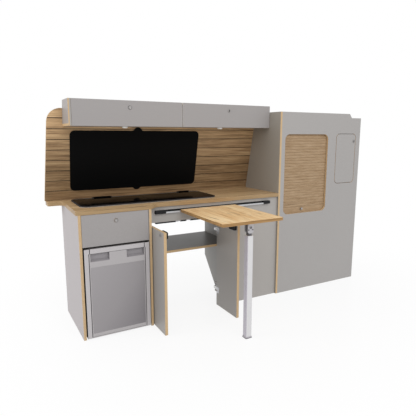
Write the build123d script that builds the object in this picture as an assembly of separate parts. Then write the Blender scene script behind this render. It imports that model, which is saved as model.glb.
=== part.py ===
from build123d import *
import math
import os

os.makedirs("parts", exist_ok=True)

# Campervan kitchen unit. Millimetres, X along the unit, Y from front to back, Z up.
# Sizes are measured from the bottom front outer corner of the left end panel.
# Every piece is moved to the middle of the whole unit's footprint as it is written.

# Boards and general fits
board = 16.0
face_gap = 0.3
small_gap = 2.0
overrun = 5.0
pin_fit = 0.05

# Worktop
worktop_top = 791.0
worktop_thick = 25.0
unit_depth = 500.0
base_run = 1036.0
worktop_overhang = 12.0
worktop_front_lip = 2.0
step_start = 5.0
step_length = 50.0
step_depth = 54.0
step_radius = 42.0
wing_length = 100.0
wing_depth = 90.0
wing_radius = 40.0
wing_corner = 12.0
worktop_side_taper = 9.0
worktop_corner = 8.0
worktop_hole_corner = 20.0
worktop_under = worktop_top - worktop_thick
inner_depth = unit_depth - board

# Base carcass
fridge_bay = 413.0
divider_proud = 6.0
base_setback = 66.0
bay_width = 546.0
fascia_height = 104.0
shelf_length = 644.0
shelf_drop = 222.0
arch_depth = 165.0
arch_height = 267.0
arch_foot_setback = 260.0
arch_knee_height = 53.0
arch_knee_setback = 169.0
cleat_width = 18.0
cleat_depth = 66.0
cleat_height = 70.0
divider_left = board + fridge_bay
bay_left = divider_left + board
bay_right = bay_left + bay_width
arch_left = bay_left + shelf_length
fascia_bottom = worktop_under - fascia_height
shelf_height = fascia_bottom - shelf_drop

# Tall cupboard
tall_width = 834.0
tall_front = 50.0
tall_height = 1388.0
tall_notch_start = 130.0
tall_notch_run = 25.0
tall_notch_drop = 32.0
tall_left = bay_left + base_run
tall_right = tall_left + tall_width
tall_inner_left = tall_left + board
tall_low = tall_height - tall_notch_drop
tall_back_of_front = tall_front + board
inner_shelf_height = 300.0

# Tambour shutter
shutter_left = 1530.0
shutter_width = 430.0
shutter_top_gap = 161.0
shutter_height = 605.0
shutter_corner = 42.0
slat_pitch = 21.0
slat_count = 27
slat_gap = 1.6
slat_thick = 7.0
slat_round = 1.8
slat_backing = 1.2
end_rail_height = 56.0
end_rail_lap = 8.0
track_reveal = 4.0
groove_depth = 8.0
groove_width = 8.6
groove_lip = 1.6
groove_radius = 60.0
groove_top_gap = 10.0
groove_setback = 70.0
groove_back_rise = 286.0
knob_radius = 9.0
knob_height = 16.0
knob_neck = 4.5
knob_neck_length = 6.0
knob_above_sill = 31.0
knob_off_middle = 25.0
shutter_bottom = tall_height - shutter_top_gap - shutter_height
end_rail_bottom = shutter_bottom - end_rail_lap
groove_back = unit_depth - groove_setback
groove_back_end = end_rail_bottom + groove_back_rise

# Hatch in the tall cupboard
hatch_left = 2052.0
hatch_width = 210.0
hatch_top_gap = 160.0
hatch_height = 392.0
hatch_corner = 30.0
hatch_gap = 4.0
hatch_lock_inset = 17.0
hatch_lock_drop = 57.0
hatch_hinge_inset = 70.0
hatch_pivot_in = 24.0
hatch_plate_length = 34.0
hatch_bottom = tall_height - hatch_top_gap - hatch_height

# Backboard and the black panel on it
backboard_height = 1384.0
backboard_bend_rise = 23.0
backboard_lean = 12.08
backboard_bend_radius = 150.0
backboard_left = -106.0
backboard_left_slant = 30.0
backboard_corner = 85.0
plank_pitch = 68.6
plank_start_rise = 42.0
plank_count = 7
plank_groove = 2.4
plank_groove_depth = 1.4
panel_left = 57.0
panel_length = 930.0
panel_foot_gap = 59.0
panel_head_gap = 24.6
panel_thick = 4.0
panel_corner = 32.0
tab_radius = 30.0
tab_up = 24.0
tab_down = 17.0
tab_flare = 16.0
tab_top_shift = -9.0
backboard_front = unit_depth - board
backboard_bend = worktop_top + backboard_bend_rise
panel_low = worktop_top + panel_foot_gap

# Overhead locker
locker_left = 14.0
locker_depth = 320.0
locker_bottom = 1272.6
locker_height = 158.9
locker_split = 752.0
flap_gap = 7.0
flap_end_gap = 2.0
locker_top = locker_bottom + locker_height
locker_front = unit_depth - locker_depth
panel_rise = (locker_bottom - panel_head_gap - panel_low) / math.cos(math.radians(backboard_lean))
light_radius = 18.0
light_height = 8.0
light_inset = 60.0
light_places = (373.0, 1080.0)
flap_lock_drop = 43.0
left_flap_lock = 390.0
right_flap_lock = 1122.0
flap_hinge_inset = 110.0

# Bay doors
door_thick = 18.0
door_bottom = 4.0
door_head_gap = 12.0
door_edge_gap = 4.0
door_middle_gap = 3.0
hinge_inset = 10.0
door_hinge_low = 119.0
door_hinge_drop = 94.0
door_lock_inset = 48.0
door_lock_drop = 20.0
door_width = (bay_width - 2 * door_edge_gap - door_middle_gap) / 2
door_top = fascia_bottom - door_head_gap
door_hinge_high = door_top - door_hinge_drop

# Concealed hinges
arm_width = 14.0
arm_thick = 5.0
arm_slot_gap = 0.6
knuckle_radius = 4.5
plate_thick = 3.0
plate_width = 36.0
door_arm_rise = 16.0
door_plate_start = 13.5
door_plate_end = 68.0
flap_arm_thick = 4.0
flap_arm_rise = 10.9
flap_plate_end = 62.0

# Push-button locks
button_radius = 9.5
button_proud = 2.0
button_length = 22.0
rosette_radius = 13.0
rosette_thick = 1.6
sleeve_width = 23.0
guide_sides = 8
lock_length = 74.0
lock_width = 42.0
lock_thick = 15.0
lock_corner = 6.0
bolt_length = 22.0
bolt_rise = 1.5
bolt_thick = 6.0
button_bore_extra = 3.0
strike_plate = 4.0
strike_lip = 6.0

# Strips and strikers along the bay's head
strip_height = 10.0
strip_depth = 20.0
strip_setback = 2.0
strip_places = ((503.0, 643.0), (680.0, 721.0), (754.0, 933.0))

# Drawer over the fridge
drawer_height = 193.0
drawer_side = 12.0
drawer_base = 6.0
drawer_foot_gap = 19.0
drawer_head_gap = 66.0
drawer_back_gap = 68.0
runner_space = 13.0
runner_wall = 1.5
runner_height = 36.0
runner_rise = 67.0
runner_bar_height = 22.0
runner_lip = 2.0
drawer_lock_across = 222.0
drawer_lock_drop = 47.0
drawer_bottom = worktop_under - drawer_height
drawer_box_low = drawer_bottom + drawer_foot_gap
drawer_box_high = worktop_under - drawer_head_gap
drawer_depth = inner_depth - board - drawer_back_gap
runner_centre = drawer_bottom + runner_rise
drawer_lock_height = worktop_under - drawer_lock_drop

# Fridge
frame_left = 23.0
frame_width = 401.0
frame_bottom = 8.0
frame_head_gap = 11.0
frame_strip = 25.0
frame_sill = 5.0
frame_head = 28.0
frame_depth = 44.0
fridge_proud = 8.0
frame_slot = 4.0
frame_slot_depth = 5.0
frame_slot_inset = 7.0
fridge_gap = 4.0
fridge_door_thick = 36.0
fridge_liner = 7.4
fridge_liner_inset = 10.0
fridge_pin_radius = 2.5
fridge_pin_length = 7.0
fridge_pivot_in = 6.0
grip_left_width = 113.0
grip_right_width = 111.0
grip_height = 48.0
grip_depth = 22.0
grip_inset = 6.0
decor_inset = 5.0
decor_bottom = 36.0
decor_drop = 113.0
decor_depth = 2.0
decor_corner = 4.0
fridge_side = 38.0
fridge_roof = 42.0
fridge_floor = 60.0
fridge_back = 84.0
fridge_body_inset = 9.0
fridge_foot = 30.0
lug_height = 36.0
lug_depth = 24.0
lug_inset = 70.0
fridge_shelf_count = 2
wire = 3.0
shelf_bars = 7
frame_top = drawer_bottom - frame_head_gap
decor_top = frame_top - decor_drop

# Hob and sink unit
sink_unit_left = 42.0
sink_unit_length = 936.0
sink_unit_front = 97.0
sink_unit_back_gap = 78.0
sink_unit_corner = 50.0
rim_height = 9.0
rim = 5.0
rear_rim = 14.0
rim_lap = 8.0
sheet = 2.0
deck_drop = 23.0
pan_side_inset = 13.0
pan_between = 30.0
pan_front_inset = 15.0
pan_back_inset = 22.0
pan_corner = 30.0
bowl_left_inset = 35.0
bowl_right_inset = 85.0
bowl_front_inset = 31.0
bowl_back_inset = 69.0
bowl_drop = 116.0
bowl_corner = 48.0
drain_radius = 22.0
drain_length = 30.0
glass_thick = 5.2
glass_side_gap = 1.0
glass_middle_gap = 2.0
glass_corner = 44.0
glass_inner_corner = 6.0
unit_top = worktop_top + rim_height
deck = worktop_top - deck_drop
sink_unit_depth = unit_depth - sink_unit_front - sink_unit_back_gap
sink_unit_right = sink_unit_left + sink_unit_length
pan_length = (sink_unit_length - 2 * pan_side_inset - pan_between) / 2
hob_pan_left = sink_unit_left + pan_side_inset
sink_pan_left = hob_pan_left + pan_length + pan_between
bowl_left = sink_pan_left + bowl_left_inset
bowl_length = pan_length - bowl_left_inset - bowl_right_inset
pan_front = sink_unit_front + pan_front_inset
pan_depth = sink_unit_depth - pan_front_inset - pan_back_inset
bowl_front = sink_unit_front + bowl_front_inset
bowl_depth = sink_unit_depth - bowl_front_inset - bowl_back_inset
bowl_bottom = deck - bowl_drop

# Lid hinges
lid_axis_back = 11.0
barrel_radius = 3.5
lid_pin_radius = 1.8
barrel_clearance = 0.3
post_length = 10.0
leaf_reach = 7.0
block_foot = 12.0
left_hinge_inset = 142.0
left_hinge_length = 136.0
right_hinge_inset = 66.0
right_hinge_length = 98.0
left_hinge_start = sink_unit_left + left_hinge_inset
right_hinge_end = sink_unit_right - right_hinge_inset
left_lid_hinge = (left_hinge_start, left_hinge_start + left_hinge_length)
right_lid_hinge = (right_hinge_end - right_hinge_length, right_hinge_end)

# Burners, knobs and tap
burner_left_inset = 95.0
burner_right_inset = 150.0
burner_places = (hob_pan_left + burner_left_inset, hob_pan_left + pan_length - burner_right_inset)
burner_shift = 6.0
burner_radius = 34.0
crown_radius = 24.0
crown_height = 16.0
burner_cup_width = 44.0
burner_cup_depth = 20.0
grate_half = 88.0
grate_inner = 28.0
grate_wire = 4.0
grate_arms = 4
hob_knob_radius = 14.0
hob_knob_height = 15.0
hob_knob_base = 8.0
hob_knob_grip = 5.0
hob_knob_right_inset = 43.0
hob_knob_inset = 38.0
hob_knob_pitch = 52.0
tap_right_inset = 40.0
tap_back_inset = 28.0
tap_radius = 14.0
tap_height = 18.0
spout_width = 13.0
spout_thick = 9.0
spout_length = 150.0
spout_rise = 10.5
nozzle_radius = 8.0
nozzle_length = 13.0
burner_y = pan_front + pan_depth / 2 + burner_shift
hob_knob_front = pan_front + hob_knob_inset
hob_knob_across = hob_pan_left + pan_length - hob_knob_right_inset
tap_across = sink_pan_left + pan_length - tap_right_inset
tap_place = (tap_across, pan_front + pan_depth - tap_back_inset)

# Folding table, its rail and its leg
table_left = 670.0
table_width = 422.0
table_front = -488.0
table_drop = 53.0
table_thick = 18.0
table_corner = 6.0
rail_left = 494.0
rail_right = 1401.0
rail_height = 22.0
rail_wall = 3.0
rail_lip = 2.5
rail_lip_height = 11.0
end_cap_left = 72.0
end_cap_right = 54.0
end_cap_step = 6.0
end_cap_bevel = 4.0
hook_wall = 3.0
hook_gap = 0.3
hook_end_gap = 20.0
leg_width = 40.0
leg_depth = 36.0
leg_wall = 2.0
leg_across = 884.0
leg_setback = -432.0
leg_pivot_drop = 30.0
leg_top_drop = 50.0
leg_corner = 2.5
leg_pin_radius = 5.0
tongue_width = 20.0
tongue_depth = 28.0
tongue_head = 12.0
tongue_plug = 26.0
foot_height = 10.0
foot_plug = 22.0
foot_proud = 2.0
bracket_wall = 3.0
bracket_height = 65.0
bracket_bevel = 9.0
bracket_flange = 30.0
bracket_lap = 6.0
bracket_side_gap = 0.5
catch_width = 5.0
catch_thick = 3.0
catch_length = 38.0
catch_angle = 60.0
table_top_height = worktop_top - table_drop

# Middle of the whole unit's footprint
middle_x = (backboard_left + tall_right) / 2
middle_y = (table_front + unit_depth) / 2


def box(x, y, z):
    """Block from the low to the high value on each axis."""
    size = Box(x[1] - x[0], y[1] - y[0], z[1] - z[0], align=(Align.MIN, Align.MIN, Align.MIN))
    return Pos(x[0], y[0], z[0]) * size


def upright(radius, x, y, z):
    """Cylinder standing on z[0] and ending at z[1]."""
    return Pos(x, y, z[0]) * Cylinder(radius, z[1] - z[0], align=(Align.CENTER, Align.CENTER, Align.MIN))


def along_y(radius, x, z, y):
    """Cylinder lying along Y from y[0] to y[1]."""
    turned = Rot(-90, 0, 0) * Cylinder(radius, y[1] - y[0], align=(Align.CENTER, Align.CENTER, Align.MIN))
    return Pos(x, y[0], z) * turned


def along_x(radius, y, z, x):
    """Cylinder lying along X from x[0] to x[1]."""
    turned = Rot(0, 90, 0) * Cylinder(radius, x[1] - x[0], align=(Align.CENTER, Align.CENTER, Align.MIN))
    return Pos(x[0], y, z) * turned


def plan_plate(left, front, length, depth, radius, z):
    """Plate with rounded corners in plan, from z[0] to z[1]."""
    face = RectangleRounded(length, depth, radius)
    return Pos(left + length / 2, front + depth / 2, z[0]) * extrude(face, amount=z[1] - z[0])


def front_plate(left, bottom, width, height, radius, y):
    """Upright plate with rounded corners, from y[0] back to y[1]."""
    face = Plane.XZ * Pos(left + width / 2, bottom + height / 2) * RectangleRounded(width, height, radius)
    return Pos(0, y[1], 0) * extrude(face, amount=y[1] - y[0])


def side_profile(points, x):
    """Outline given as (Y, Z) points, extruded from x[0] to x[1]."""
    face = Plane.YZ * Polygon(*points, align=None)
    return Pos(x[0], 0, 0) * extrude(face, amount=x[1] - x[0])


def bevelled(width, height, bevel):
    """Rectangle with cut corners."""
    face = Rectangle(width, height)
    return chamfer(face.vertices(), bevel)


def save(name, shape):
    """Write one piece, moved to the middle of the unit's footprint."""
    moved = Pos(-middle_x, -middle_y, 0) * shape
    export_step(moved, f"parts/{name}.step")


def group(pieces):
    """Several separate solids written as one node."""
    return Compound(children=[solid for piece in pieces for solid in piece.solids()])


def lean_front(z):
    """Y of the backboard's front face at a height above its bend."""
    return backboard_front - (z - backboard_bend) * math.tan(math.radians(backboard_lean))


# Concealed hinge, drawn on a flat of its own: first axis away from the hinge edge, second from
# the outer face to the inner face, third along the pivot. Its origin is the pivot.


def hinge_seat(thick, edge):
    """What a board loses to one arm: a round seat and the way out over the hinge edge."""
    high = thick / 2 + overrun
    half = arm_width / 2 + arm_slot_gap
    seat = knuckle_radius + pin_fit
    way = box((-edge - overrun, 0), (-seat, high), (-half, half))
    mouth = box((-seat, arm_thick / 2 + arm_slot_gap), (0, high), (-half, half))
    return way + mouth + upright(seat, 0, 0, (-half, half))


def hinge_arm(path, thick, plate):
    """Arm along a path, with a round knuckle that turns in the seat, and its screwed plate."""
    half = arm_width / 2
    arm = upright(knuckle_radius, 0, 0, (-half, half))
    for start, end in zip(path, path[1:]):
        (low_x, high_x), (low_y, high_y) = (sorted(pair) for pair in zip(start, end))
        arm += box(
            (low_x - thick / 2, high_x + thick / 2), (low_y - thick / 2, high_y + thick / 2), (-half, half)
        )
    return arm + box(plate[0], plate[1], (-plate_width / 2, plate_width / 2))


def door_frame(pivot_x, pivot_y, z, inward, opening):
    """Place of a door hinge's flat: inward is the way along the closed door."""
    return Plane(origin=(pivot_x, pivot_y, z), x_dir=inward, z_dir=opening)


# Push-button lock, drawn with its face on the flat's origin and its body behind, along -Z.
# The bolt points along +Y of the flat.


def guide_outline(width):
    """Eight-sided outline of a part that must not turn, given across its flats."""
    return RegularPolygon(width / 2, guide_sides, major_radius=False)


def button_bore():
    """Room for the button and its stroke."""
    depth = button_length + button_bore_extra
    outline = guide_outline(2 * (button_radius + pin_fit))
    return Pos(0, 0, rosette_thick - depth) * extrude(outline, amount=depth + overrun)


def lock_case(thick):
    """Rosette, sleeve through the board, case on the inner face and bolt."""
    rosette = extrude(Circle(rosette_radius), amount=rosette_thick)
    sleeve = Pos(0, 0, -thick) * extrude(guide_outline(sleeve_width), amount=thick)
    case = Pos(0, 0, -thick - lock_thick) * extrude(
        bevelled(lock_length, lock_width, lock_corner), amount=lock_thick
    )
    bolt_y = lock_width / 2
    bolt = box(
        (-bolt_length / 2, bolt_length / 2),
        (bolt_y, bolt_y + bolt_rise),
        (-thick - bolt_thick * 2, -thick - bolt_thick),
    )
    return rosette + sleeve + case + bolt - button_bore()


def lock_hole(thick):
    """What a board loses to the lock's sleeve."""
    return Pos(0, 0, -thick - overrun) * extrude(
        guide_outline(sleeve_width), amount=thick + 2 * overrun
    )


def lock_button():
    top = rosette_thick + button_proud
    return Pos(0, 0, top - button_length) * extrude(Circle(button_radius), amount=button_length)


# Base carcass


def left_end_panel():
    return box((0, board), (0, unit_depth), (0, worktop_under))


def fridge_divider():
    return box((divider_left, bay_left), (-divider_proud, inner_depth), (0, worktop_under))


def wheel_arch_divider():
    front = base_setback + board
    outline = (
        (front, 0),
        (inner_depth - arch_foot_setback, 0),
        (inner_depth - arch_knee_setback, arch_knee_height),
        (inner_depth, arch_height),
        (inner_depth, worktop_under),
        (front, worktop_under),
    )
    return side_profile(outline, (arch_left, arch_left + board))


def bay_shelf():
    front = base_setback + door_thick / 2 + math.hypot(hinge_inset, door_thick / 2) + small_gap
    return box((bay_left, arch_left), (front, inner_depth), (shelf_height, shelf_height + board))


def base_front_panel():
    back = base_setback + board
    panel = box((bay_left, tall_left), (base_setback, back), (0, worktop_under))
    panel -= box((bay_left - overrun, bay_right), (0, back + overrun), (-overrun, fascia_bottom))
    for height in (door_hinge_low, door_hinge_high):
        half = cleat_height / 2
        panel += box(
            (bay_right, bay_right + cleat_width),
            (back, back + cleat_depth),
            (height - half, height + half),
        )
    return panel


def worktop():
    step_x = bay_left + step_start
    wing_front = unit_depth - wing_depth
    outline = Polygon(
        (-worktop_overhang, -worktop_front_lip),
        (step_x, -worktop_front_lip),
        (step_x + step_length, step_depth - worktop_front_lip),
        (tall_left, step_depth - worktop_front_lip),
        (tall_left, unit_depth),
        (-wing_length, unit_depth),
        (-wing_length, wing_front),
        (worktop_side_taper - worktop_overhang, wing_front),
        align=None,
    )
    corners = outline.vertices()

    def near(x, y):
        return corners.sort_by_distance((x, y, 0))[0]

    outline = fillet(
        [near(step_x, -worktop_front_lip), near(step_x + step_length, step_depth - worktop_front_lip)],
        step_radius,
    )
    outline = fillet(
        outline.vertices().sort_by_distance((worktop_side_taper - worktop_overhang, wing_front, 0))[0],
        wing_radius,
    )
    outline = fillet(outline.vertices().sort_by_distance((-wing_length, wing_front, 0))[0], wing_corner)
    outline = fillet(
        outline.vertices().sort_by_distance((-worktop_overhang, -worktop_front_lip, 0))[0],
        worktop_corner,
    )
    slab = Pos(0, 0, worktop_under) * extrude(outline, amount=worktop_thick)
    hole = bevelled(
        sink_unit_length - 2 * rim_lap, sink_unit_depth - 2 * rim_lap, worktop_hole_corner
    )
    hole_middle = (sink_unit_left + sink_unit_length / 2, sink_unit_front + sink_unit_depth / 2)
    low = worktop_under - overrun
    return slab - Pos(*hole_middle, low) * extrude(hole, amount=worktop_thick + 2 * overrun)


# Backboard


def lean_plane(z):
    """Flat on the backboard's front face, X along the unit and Y up the slope."""
    angle = math.radians(backboard_lean)
    return Plane(
        origin=(0, lean_front(z), z),
        x_dir=(1, 0, 0),
        z_dir=(0, -math.cos(angle), -math.sin(angle)),
    )


def backboard():
    angle = math.radians(backboard_lean)
    over = backboard_height + backboard_corner
    run = over - backboard_bend
    front_top = (lean_front(over), over)
    back_foot = (unit_depth, worktop_top)
    back_bend = (unit_depth, backboard_bend + board * math.tan(angle / 2))
    back_top = (
        back_bend[0] - run * math.tan(angle),
        back_bend[1] + run,
    )
    front = FilletPolyline(
        (backboard_front, worktop_top),
        (backboard_front, backboard_bend),
        front_top,
        radius=backboard_bend_radius,
    )
    back = FilletPolyline(back_foot, back_bend, back_top, radius=backboard_bend_radius + board)
    foot = Line(back_foot, (backboard_front, worktop_top))
    section = make_face(front + Line(front_top, back_top) + back + foot)
    for index in range(plank_count):
        z = backboard_bend + plank_start_rise + index * plank_pitch * math.cos(angle)
        groove = Pos(lean_front(z), z) * Rot(0, 0, backboard_lean + 45)
        side = plank_groove_depth * math.sqrt(2)
        section -= groove * Rectangle(side, side)
    board_blank = Pos(backboard_left - overrun, 0, 0) * extrude(
        Plane.YZ * section, amount=tall_left - backboard_left + overrun
    )
    outline = Polygon(
        (backboard_left, worktop_top),
        (tall_left, worktop_top),
        (tall_left, backboard_height),
        (backboard_left + backboard_left_slant, backboard_height),
        align=None,
    )
    corner = outline.vertices().sort_by_distance((backboard_left, backboard_height, 0))[0]
    outline = fillet(corner, backboard_corner)
    return board_blank & extrude(Plane.XZ * outline, amount=-unit_depth)


def black_back_panel():
    plate = RectangleRounded(panel_length, panel_rise, panel_corner)
    upper = Pos(tab_top_shift, panel_rise / 2 + tab_up - tab_radius) * Circle(tab_radius)
    lower = Pos(0, tab_radius - tab_down - panel_rise / 2) * Circle(tab_radius)
    outline = plate + upper + lower
    for y, middle in ((panel_rise / 2, tab_top_shift), (-panel_rise / 2, 0)):
        corners = outline.vertices().sort_by_distance((middle, y, 0))[:2]
        outline = fillet(corners, tab_flare)
    angle = math.radians(backboard_lean)
    middle_z = panel_low + panel_rise / 2 * math.cos(angle)
    place = lean_plane(middle_z) * Pos(panel_left + panel_length / 2, 0)
    return extrude(place * outline, amount=panel_thick)


# Tall cupboard


def tall_left_side():
    return box((tall_left, tall_inner_left), (tall_front, unit_depth), (0, tall_height))


def tall_right_side():
    return box((tall_right - board, tall_right), (tall_back_of_front, unit_depth), (0, tall_low))


def tall_front_panel():
    notch = tall_right - tall_notch_start
    outline = Polygon(
        (tall_inner_left, 0),
        (tall_right, 0),
        (tall_right, tall_low),
        (notch + tall_notch_run, tall_low),
        (notch, tall_height),
        (tall_inner_left, tall_height),
        align=None,
    )
    panel = Pos(0, tall_back_of_front, 0) * extrude(Plane.XZ * outline, amount=board)
    through = (tall_front - overrun, tall_back_of_front + overrun)
    panel -= front_plate(
        shutter_left, shutter_bottom, shutter_width, shutter_height, shutter_corner, through
    )
    panel -= front_plate(
        hatch_left - hatch_gap,
        hatch_bottom - hatch_gap,
        hatch_width + 2 * hatch_gap,
        hatch_height + 2 * hatch_gap,
        hatch_corner + hatch_gap,
        through,
    )
    return panel


track_left = shutter_left - track_reveal - board
track_right = shutter_left + shutter_width + track_reveal
track_top = tall_height - board


def tall_shelves():
    back = (tall_back_of_front, unit_depth)
    behind = (groove_back, unit_depth)
    notch = tall_right - tall_notch_start
    right_room = (track_right + board, tall_right - board)
    middle_room = (track_left + board, track_right)
    sill = (end_rail_bottom - board, end_rail_bottom)
    shelf_front = tall_back_of_front + groove_width + 2 * groove_lip
    middle_z = shutter_bottom + inner_shelf_height
    return group(
        [
            box((tall_inner_left, notch), back, (track_top, tall_height)),
            box(middle_room, back, sill),
            box(
                middle_room,
                (shelf_front, groove_back - groove_width - groove_lip),
                (middle_z, middle_z + board),
            ),
            box(right_room, back, (hatch_bottom - board - hatch_gap, hatch_bottom - hatch_gap)),
        ]
    )


def track_groove():
    """Ring that runs up the front, back under the top and down behind, seen from the side."""
    front = tall_back_of_front + groove_lip
    top = track_top - groove_top_gap
    height = top - end_rail_bottom
    depth = groove_back - front
    outer = RectangleRounded(depth, height, groove_radius + groove_width)
    inner = RectangleRounded(depth - 2 * groove_width, height - 2 * groove_width, groove_radius)
    ring = Pos(front + depth / 2, end_rail_bottom + height / 2) * (outer - inner)
    low_back = Pos(groove_back, (end_rail_bottom + groove_back_end) / 2) * Rectangle(
        2 * (depth - groove_width), groove_back_end - end_rail_bottom + groove_width
    )
    foot_height = 2 * (groove_radius + groove_width)
    front_leg = Pos(front + groove_width / 2, end_rail_bottom + foot_height / 2) * Rectangle(
        groove_width, foot_height
    )
    return (ring - low_back) + front_leg


def tambour_tracks():
    back = (tall_back_of_front, unit_depth)
    groove = extrude(Plane.YZ * track_groove(), amount=groove_depth)
    left = box((track_left, track_left + board), back, (0, track_top))
    right = box((track_right, track_right + board), back, (0, track_top))
    left -= Pos(track_left + board - groove_depth, 0, 0) * groove
    right -= Pos(track_right, 0, 0) * groove
    return group([left, right])


slat_front = tall_back_of_front + groove_lip + (groove_width - slat_thick) / 2
slat_left = track_left + board - groove_depth + small_gap / 2
slat_right = track_right + groove_depth - small_gap / 2
rail_top = end_rail_bottom + end_rail_height


def tambour_curtain():
    height = slat_pitch - slat_gap
    slats = Sketch()
    for index in range(slat_count):
        z = rail_top + slat_gap / 2 + index * slat_pitch
        slat = Pos(slat_front + slat_thick / 2, z + height / 2) * Rectangle(slat_thick, height)
        front_corners = slat.vertices().group_by(Axis.X)[0]
        slats += chamfer(front_corners, slat_round)
    total = slat_count * slat_pitch
    backing_y = slat_front + slat_thick - slat_backing / 2
    slats += Pos(backing_y, rail_top + total / 2) * Rectangle(slat_backing, total)
    return Pos(slat_left, 0, 0) * extrude(Plane.YZ * slats, amount=slat_right - slat_left)


def tambour_end_rail():
    rail = box(
        (slat_left, slat_right), (slat_front, slat_front + slat_thick), (end_rail_bottom, rail_top)
    )
    return rail


def tambour_knob():
    x = shutter_left + shutter_width / 2 - knob_off_middle
    z = shutter_bottom + knob_above_sill
    neck = Plane.XZ * Pos(x, z) * guide_outline(2 * knob_neck)
    neck = Pos(0, slat_front, 0) * extrude(neck, amount=knob_neck_length)
    head = along_y(knob_radius, x, z, (slat_front - knob_height, slat_front - knob_neck_length))
    head = chamfer(head.edges().filter_by(GeomType.CIRCLE).group_by(Axis.Y)[0], knob_radius / 5)
    return neck + head


# Hatch


def hatch_hinge_flats():
    """Places of the hatch's two hinges, in far enough to clear the rounded corners."""
    pivot_x = hatch_left + hatch_pivot_in
    pivot_y = tall_front + board / 2
    heights = (hatch_bottom + hatch_hinge_inset, hatch_bottom + hatch_height - hatch_hinge_inset)
    return [door_frame(pivot_x, pivot_y, z, (1, 0, 0), (0, 0, 1)) for z in heights]


def hatch_lock_flat():
    x = hatch_left + hatch_width - hatch_lock_inset
    z = hatch_bottom + hatch_height - hatch_lock_drop
    return Plane(origin=(x, tall_front, z), x_dir=(0, 0, 1), z_dir=(0, -1, 0))


def hatch_door():
    door = front_plate(
        hatch_left, hatch_bottom, hatch_width, hatch_height, hatch_corner,
        (tall_front, tall_back_of_front),
    )
    for flat in hatch_hinge_flats():
        door -= flat * hinge_seat(board, hatch_pivot_in)
    return door - hatch_lock_flat() * lock_hole(board)


def hatch_lock():
    """Small cam lock: the case ends before the hatch's own edge."""
    case_width = 2 * (hatch_lock_inset - small_gap)
    rosette = extrude(Circle(rosette_radius), amount=rosette_thick)
    sleeve = Pos(0, 0, -board) * extrude(guide_outline(sleeve_width), amount=board)
    case = Pos(0, 0, -board - lock_thick) * extrude(
        bevelled(lock_width, case_width, lock_corner), amount=lock_thick
    )
    return rosette + sleeve + case - button_bore()


def hatch_fittings():
    return hatch_lock_flat() * hatch_lock()


def hatch_button():
    return hatch_lock_flat() * lock_button()


# Overhead locker


def locker_left_end():
    outline = (
        (locker_front, locker_bottom),
        (lean_front(locker_bottom), locker_bottom),
        (lean_front(locker_top), locker_top),
        (locker_front, locker_top),
    )
    return side_profile(outline, (locker_left, locker_left + board))


def locker_board(x, front, z):
    """Board between the locker's ends whose back follows the leaning backboard."""
    outline = (
        (front, z[0]),
        (lean_front(z[0]), z[0]),
        (lean_front(z[1]), z[1]),
        (front, z[1]),
    )
    return side_profile(outline, x)


def locker_boards():
    inner = (locker_left + board, tall_left)
    behind_flap = locker_front + board
    low_front = behind_flap - board / 2 + math.hypot(hinge_inset, board / 2) + face_gap
    low = (locker_bottom, locker_bottom + board)
    high = (locker_top - board, locker_top)
    divider_x = locker_split + flap_gap / 2 - board / 2
    return group(
        [
            locker_board(inner, low_front, low),
            locker_board(inner, behind_flap + face_gap, high),
            locker_board((divider_x, divider_x + board), low_front, (low[1], high[0])),
        ]
    )


left_flap_span = (locker_left + board + flap_end_gap, locker_split)
right_flap_span = (locker_split + flap_gap, tall_left - flap_end_gap)
flap_pivot_z = locker_bottom + hinge_inset
flap_pivot_y = locker_front + board / 2


def flap_hinge_flats(span):
    """Flaps turn on hinges at their lower edge: first axis up the flap, second to the inside."""
    places = (span[0] + flap_hinge_inset, span[1] - flap_hinge_inset)
    return [
        Plane(origin=(x, flap_pivot_y, flap_pivot_z), x_dir=(0, 0, 1), z_dir=(-1, 0, 0)) for x in places
    ]


def flap_lock_flat(x):
    z = locker_top - flap_lock_drop
    return Plane(origin=(x, locker_front, z), x_dir=(1, 0, 0), z_dir=(0, -1, 0))


def flap(span, lock_x):
    plate = box(span, (locker_front, locker_front + board), (locker_bottom, locker_top))
    for flat in flap_hinge_flats(span):
        plate -= flat * hinge_seat(board, hinge_inset)
    return plate - flap_lock_flat(lock_x) * lock_hole(board)


def flap_fittings(lock_x):
    return flap_lock_flat(lock_x) * lock_case(board)


def downlights():
    y = locker_front + light_inset
    height = (locker_bottom - light_height, locker_bottom)
    return group([upright(light_radius, x, y, height) for x in light_places])


# Bay doors, both standing open at a right angle

left_pivot_x = bay_left + door_edge_gap + hinge_inset
right_pivot_x = bay_right - door_edge_gap - hinge_inset
door_pivot_y = base_setback + door_thick / 2


def door_hinge_flats(pivot_x, along):
    """Door hinges as the doors stand: along is the open door's way from its hinge edge."""
    side = (0, 0, along)
    return [
        door_frame(pivot_x, door_pivot_y, z, (0, -1, 0), side) for z in (door_hinge_low, door_hinge_high)
    ]


def door_lock_flat(pivot_x, outward):
    reach = door_width - hinge_inset - door_lock_inset
    z = door_top - door_lock_drop - small_gap
    face_x = pivot_x + outward * door_thick / 2
    return Plane(origin=(face_x, door_pivot_y - reach, z), x_dir=(0, outward, 0), z_dir=(outward, 0, 0))


def bay_door(pivot_x, outward):
    half = door_thick / 2
    leaf = box(
        (pivot_x - half, pivot_x + half),
        (door_pivot_y + hinge_inset - door_width, door_pivot_y + hinge_inset),
        (door_bottom, door_top),
    )
    for flat in door_hinge_flats(pivot_x, -outward):
        leaf -= flat * hinge_seat(door_thick, hinge_inset)
    return leaf - door_lock_flat(pivot_x, outward) * lock_hole(door_thick)


def door_fittings(pivot_x, outward):
    return door_lock_flat(pivot_x, outward) * lock_case(door_thick)


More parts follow.
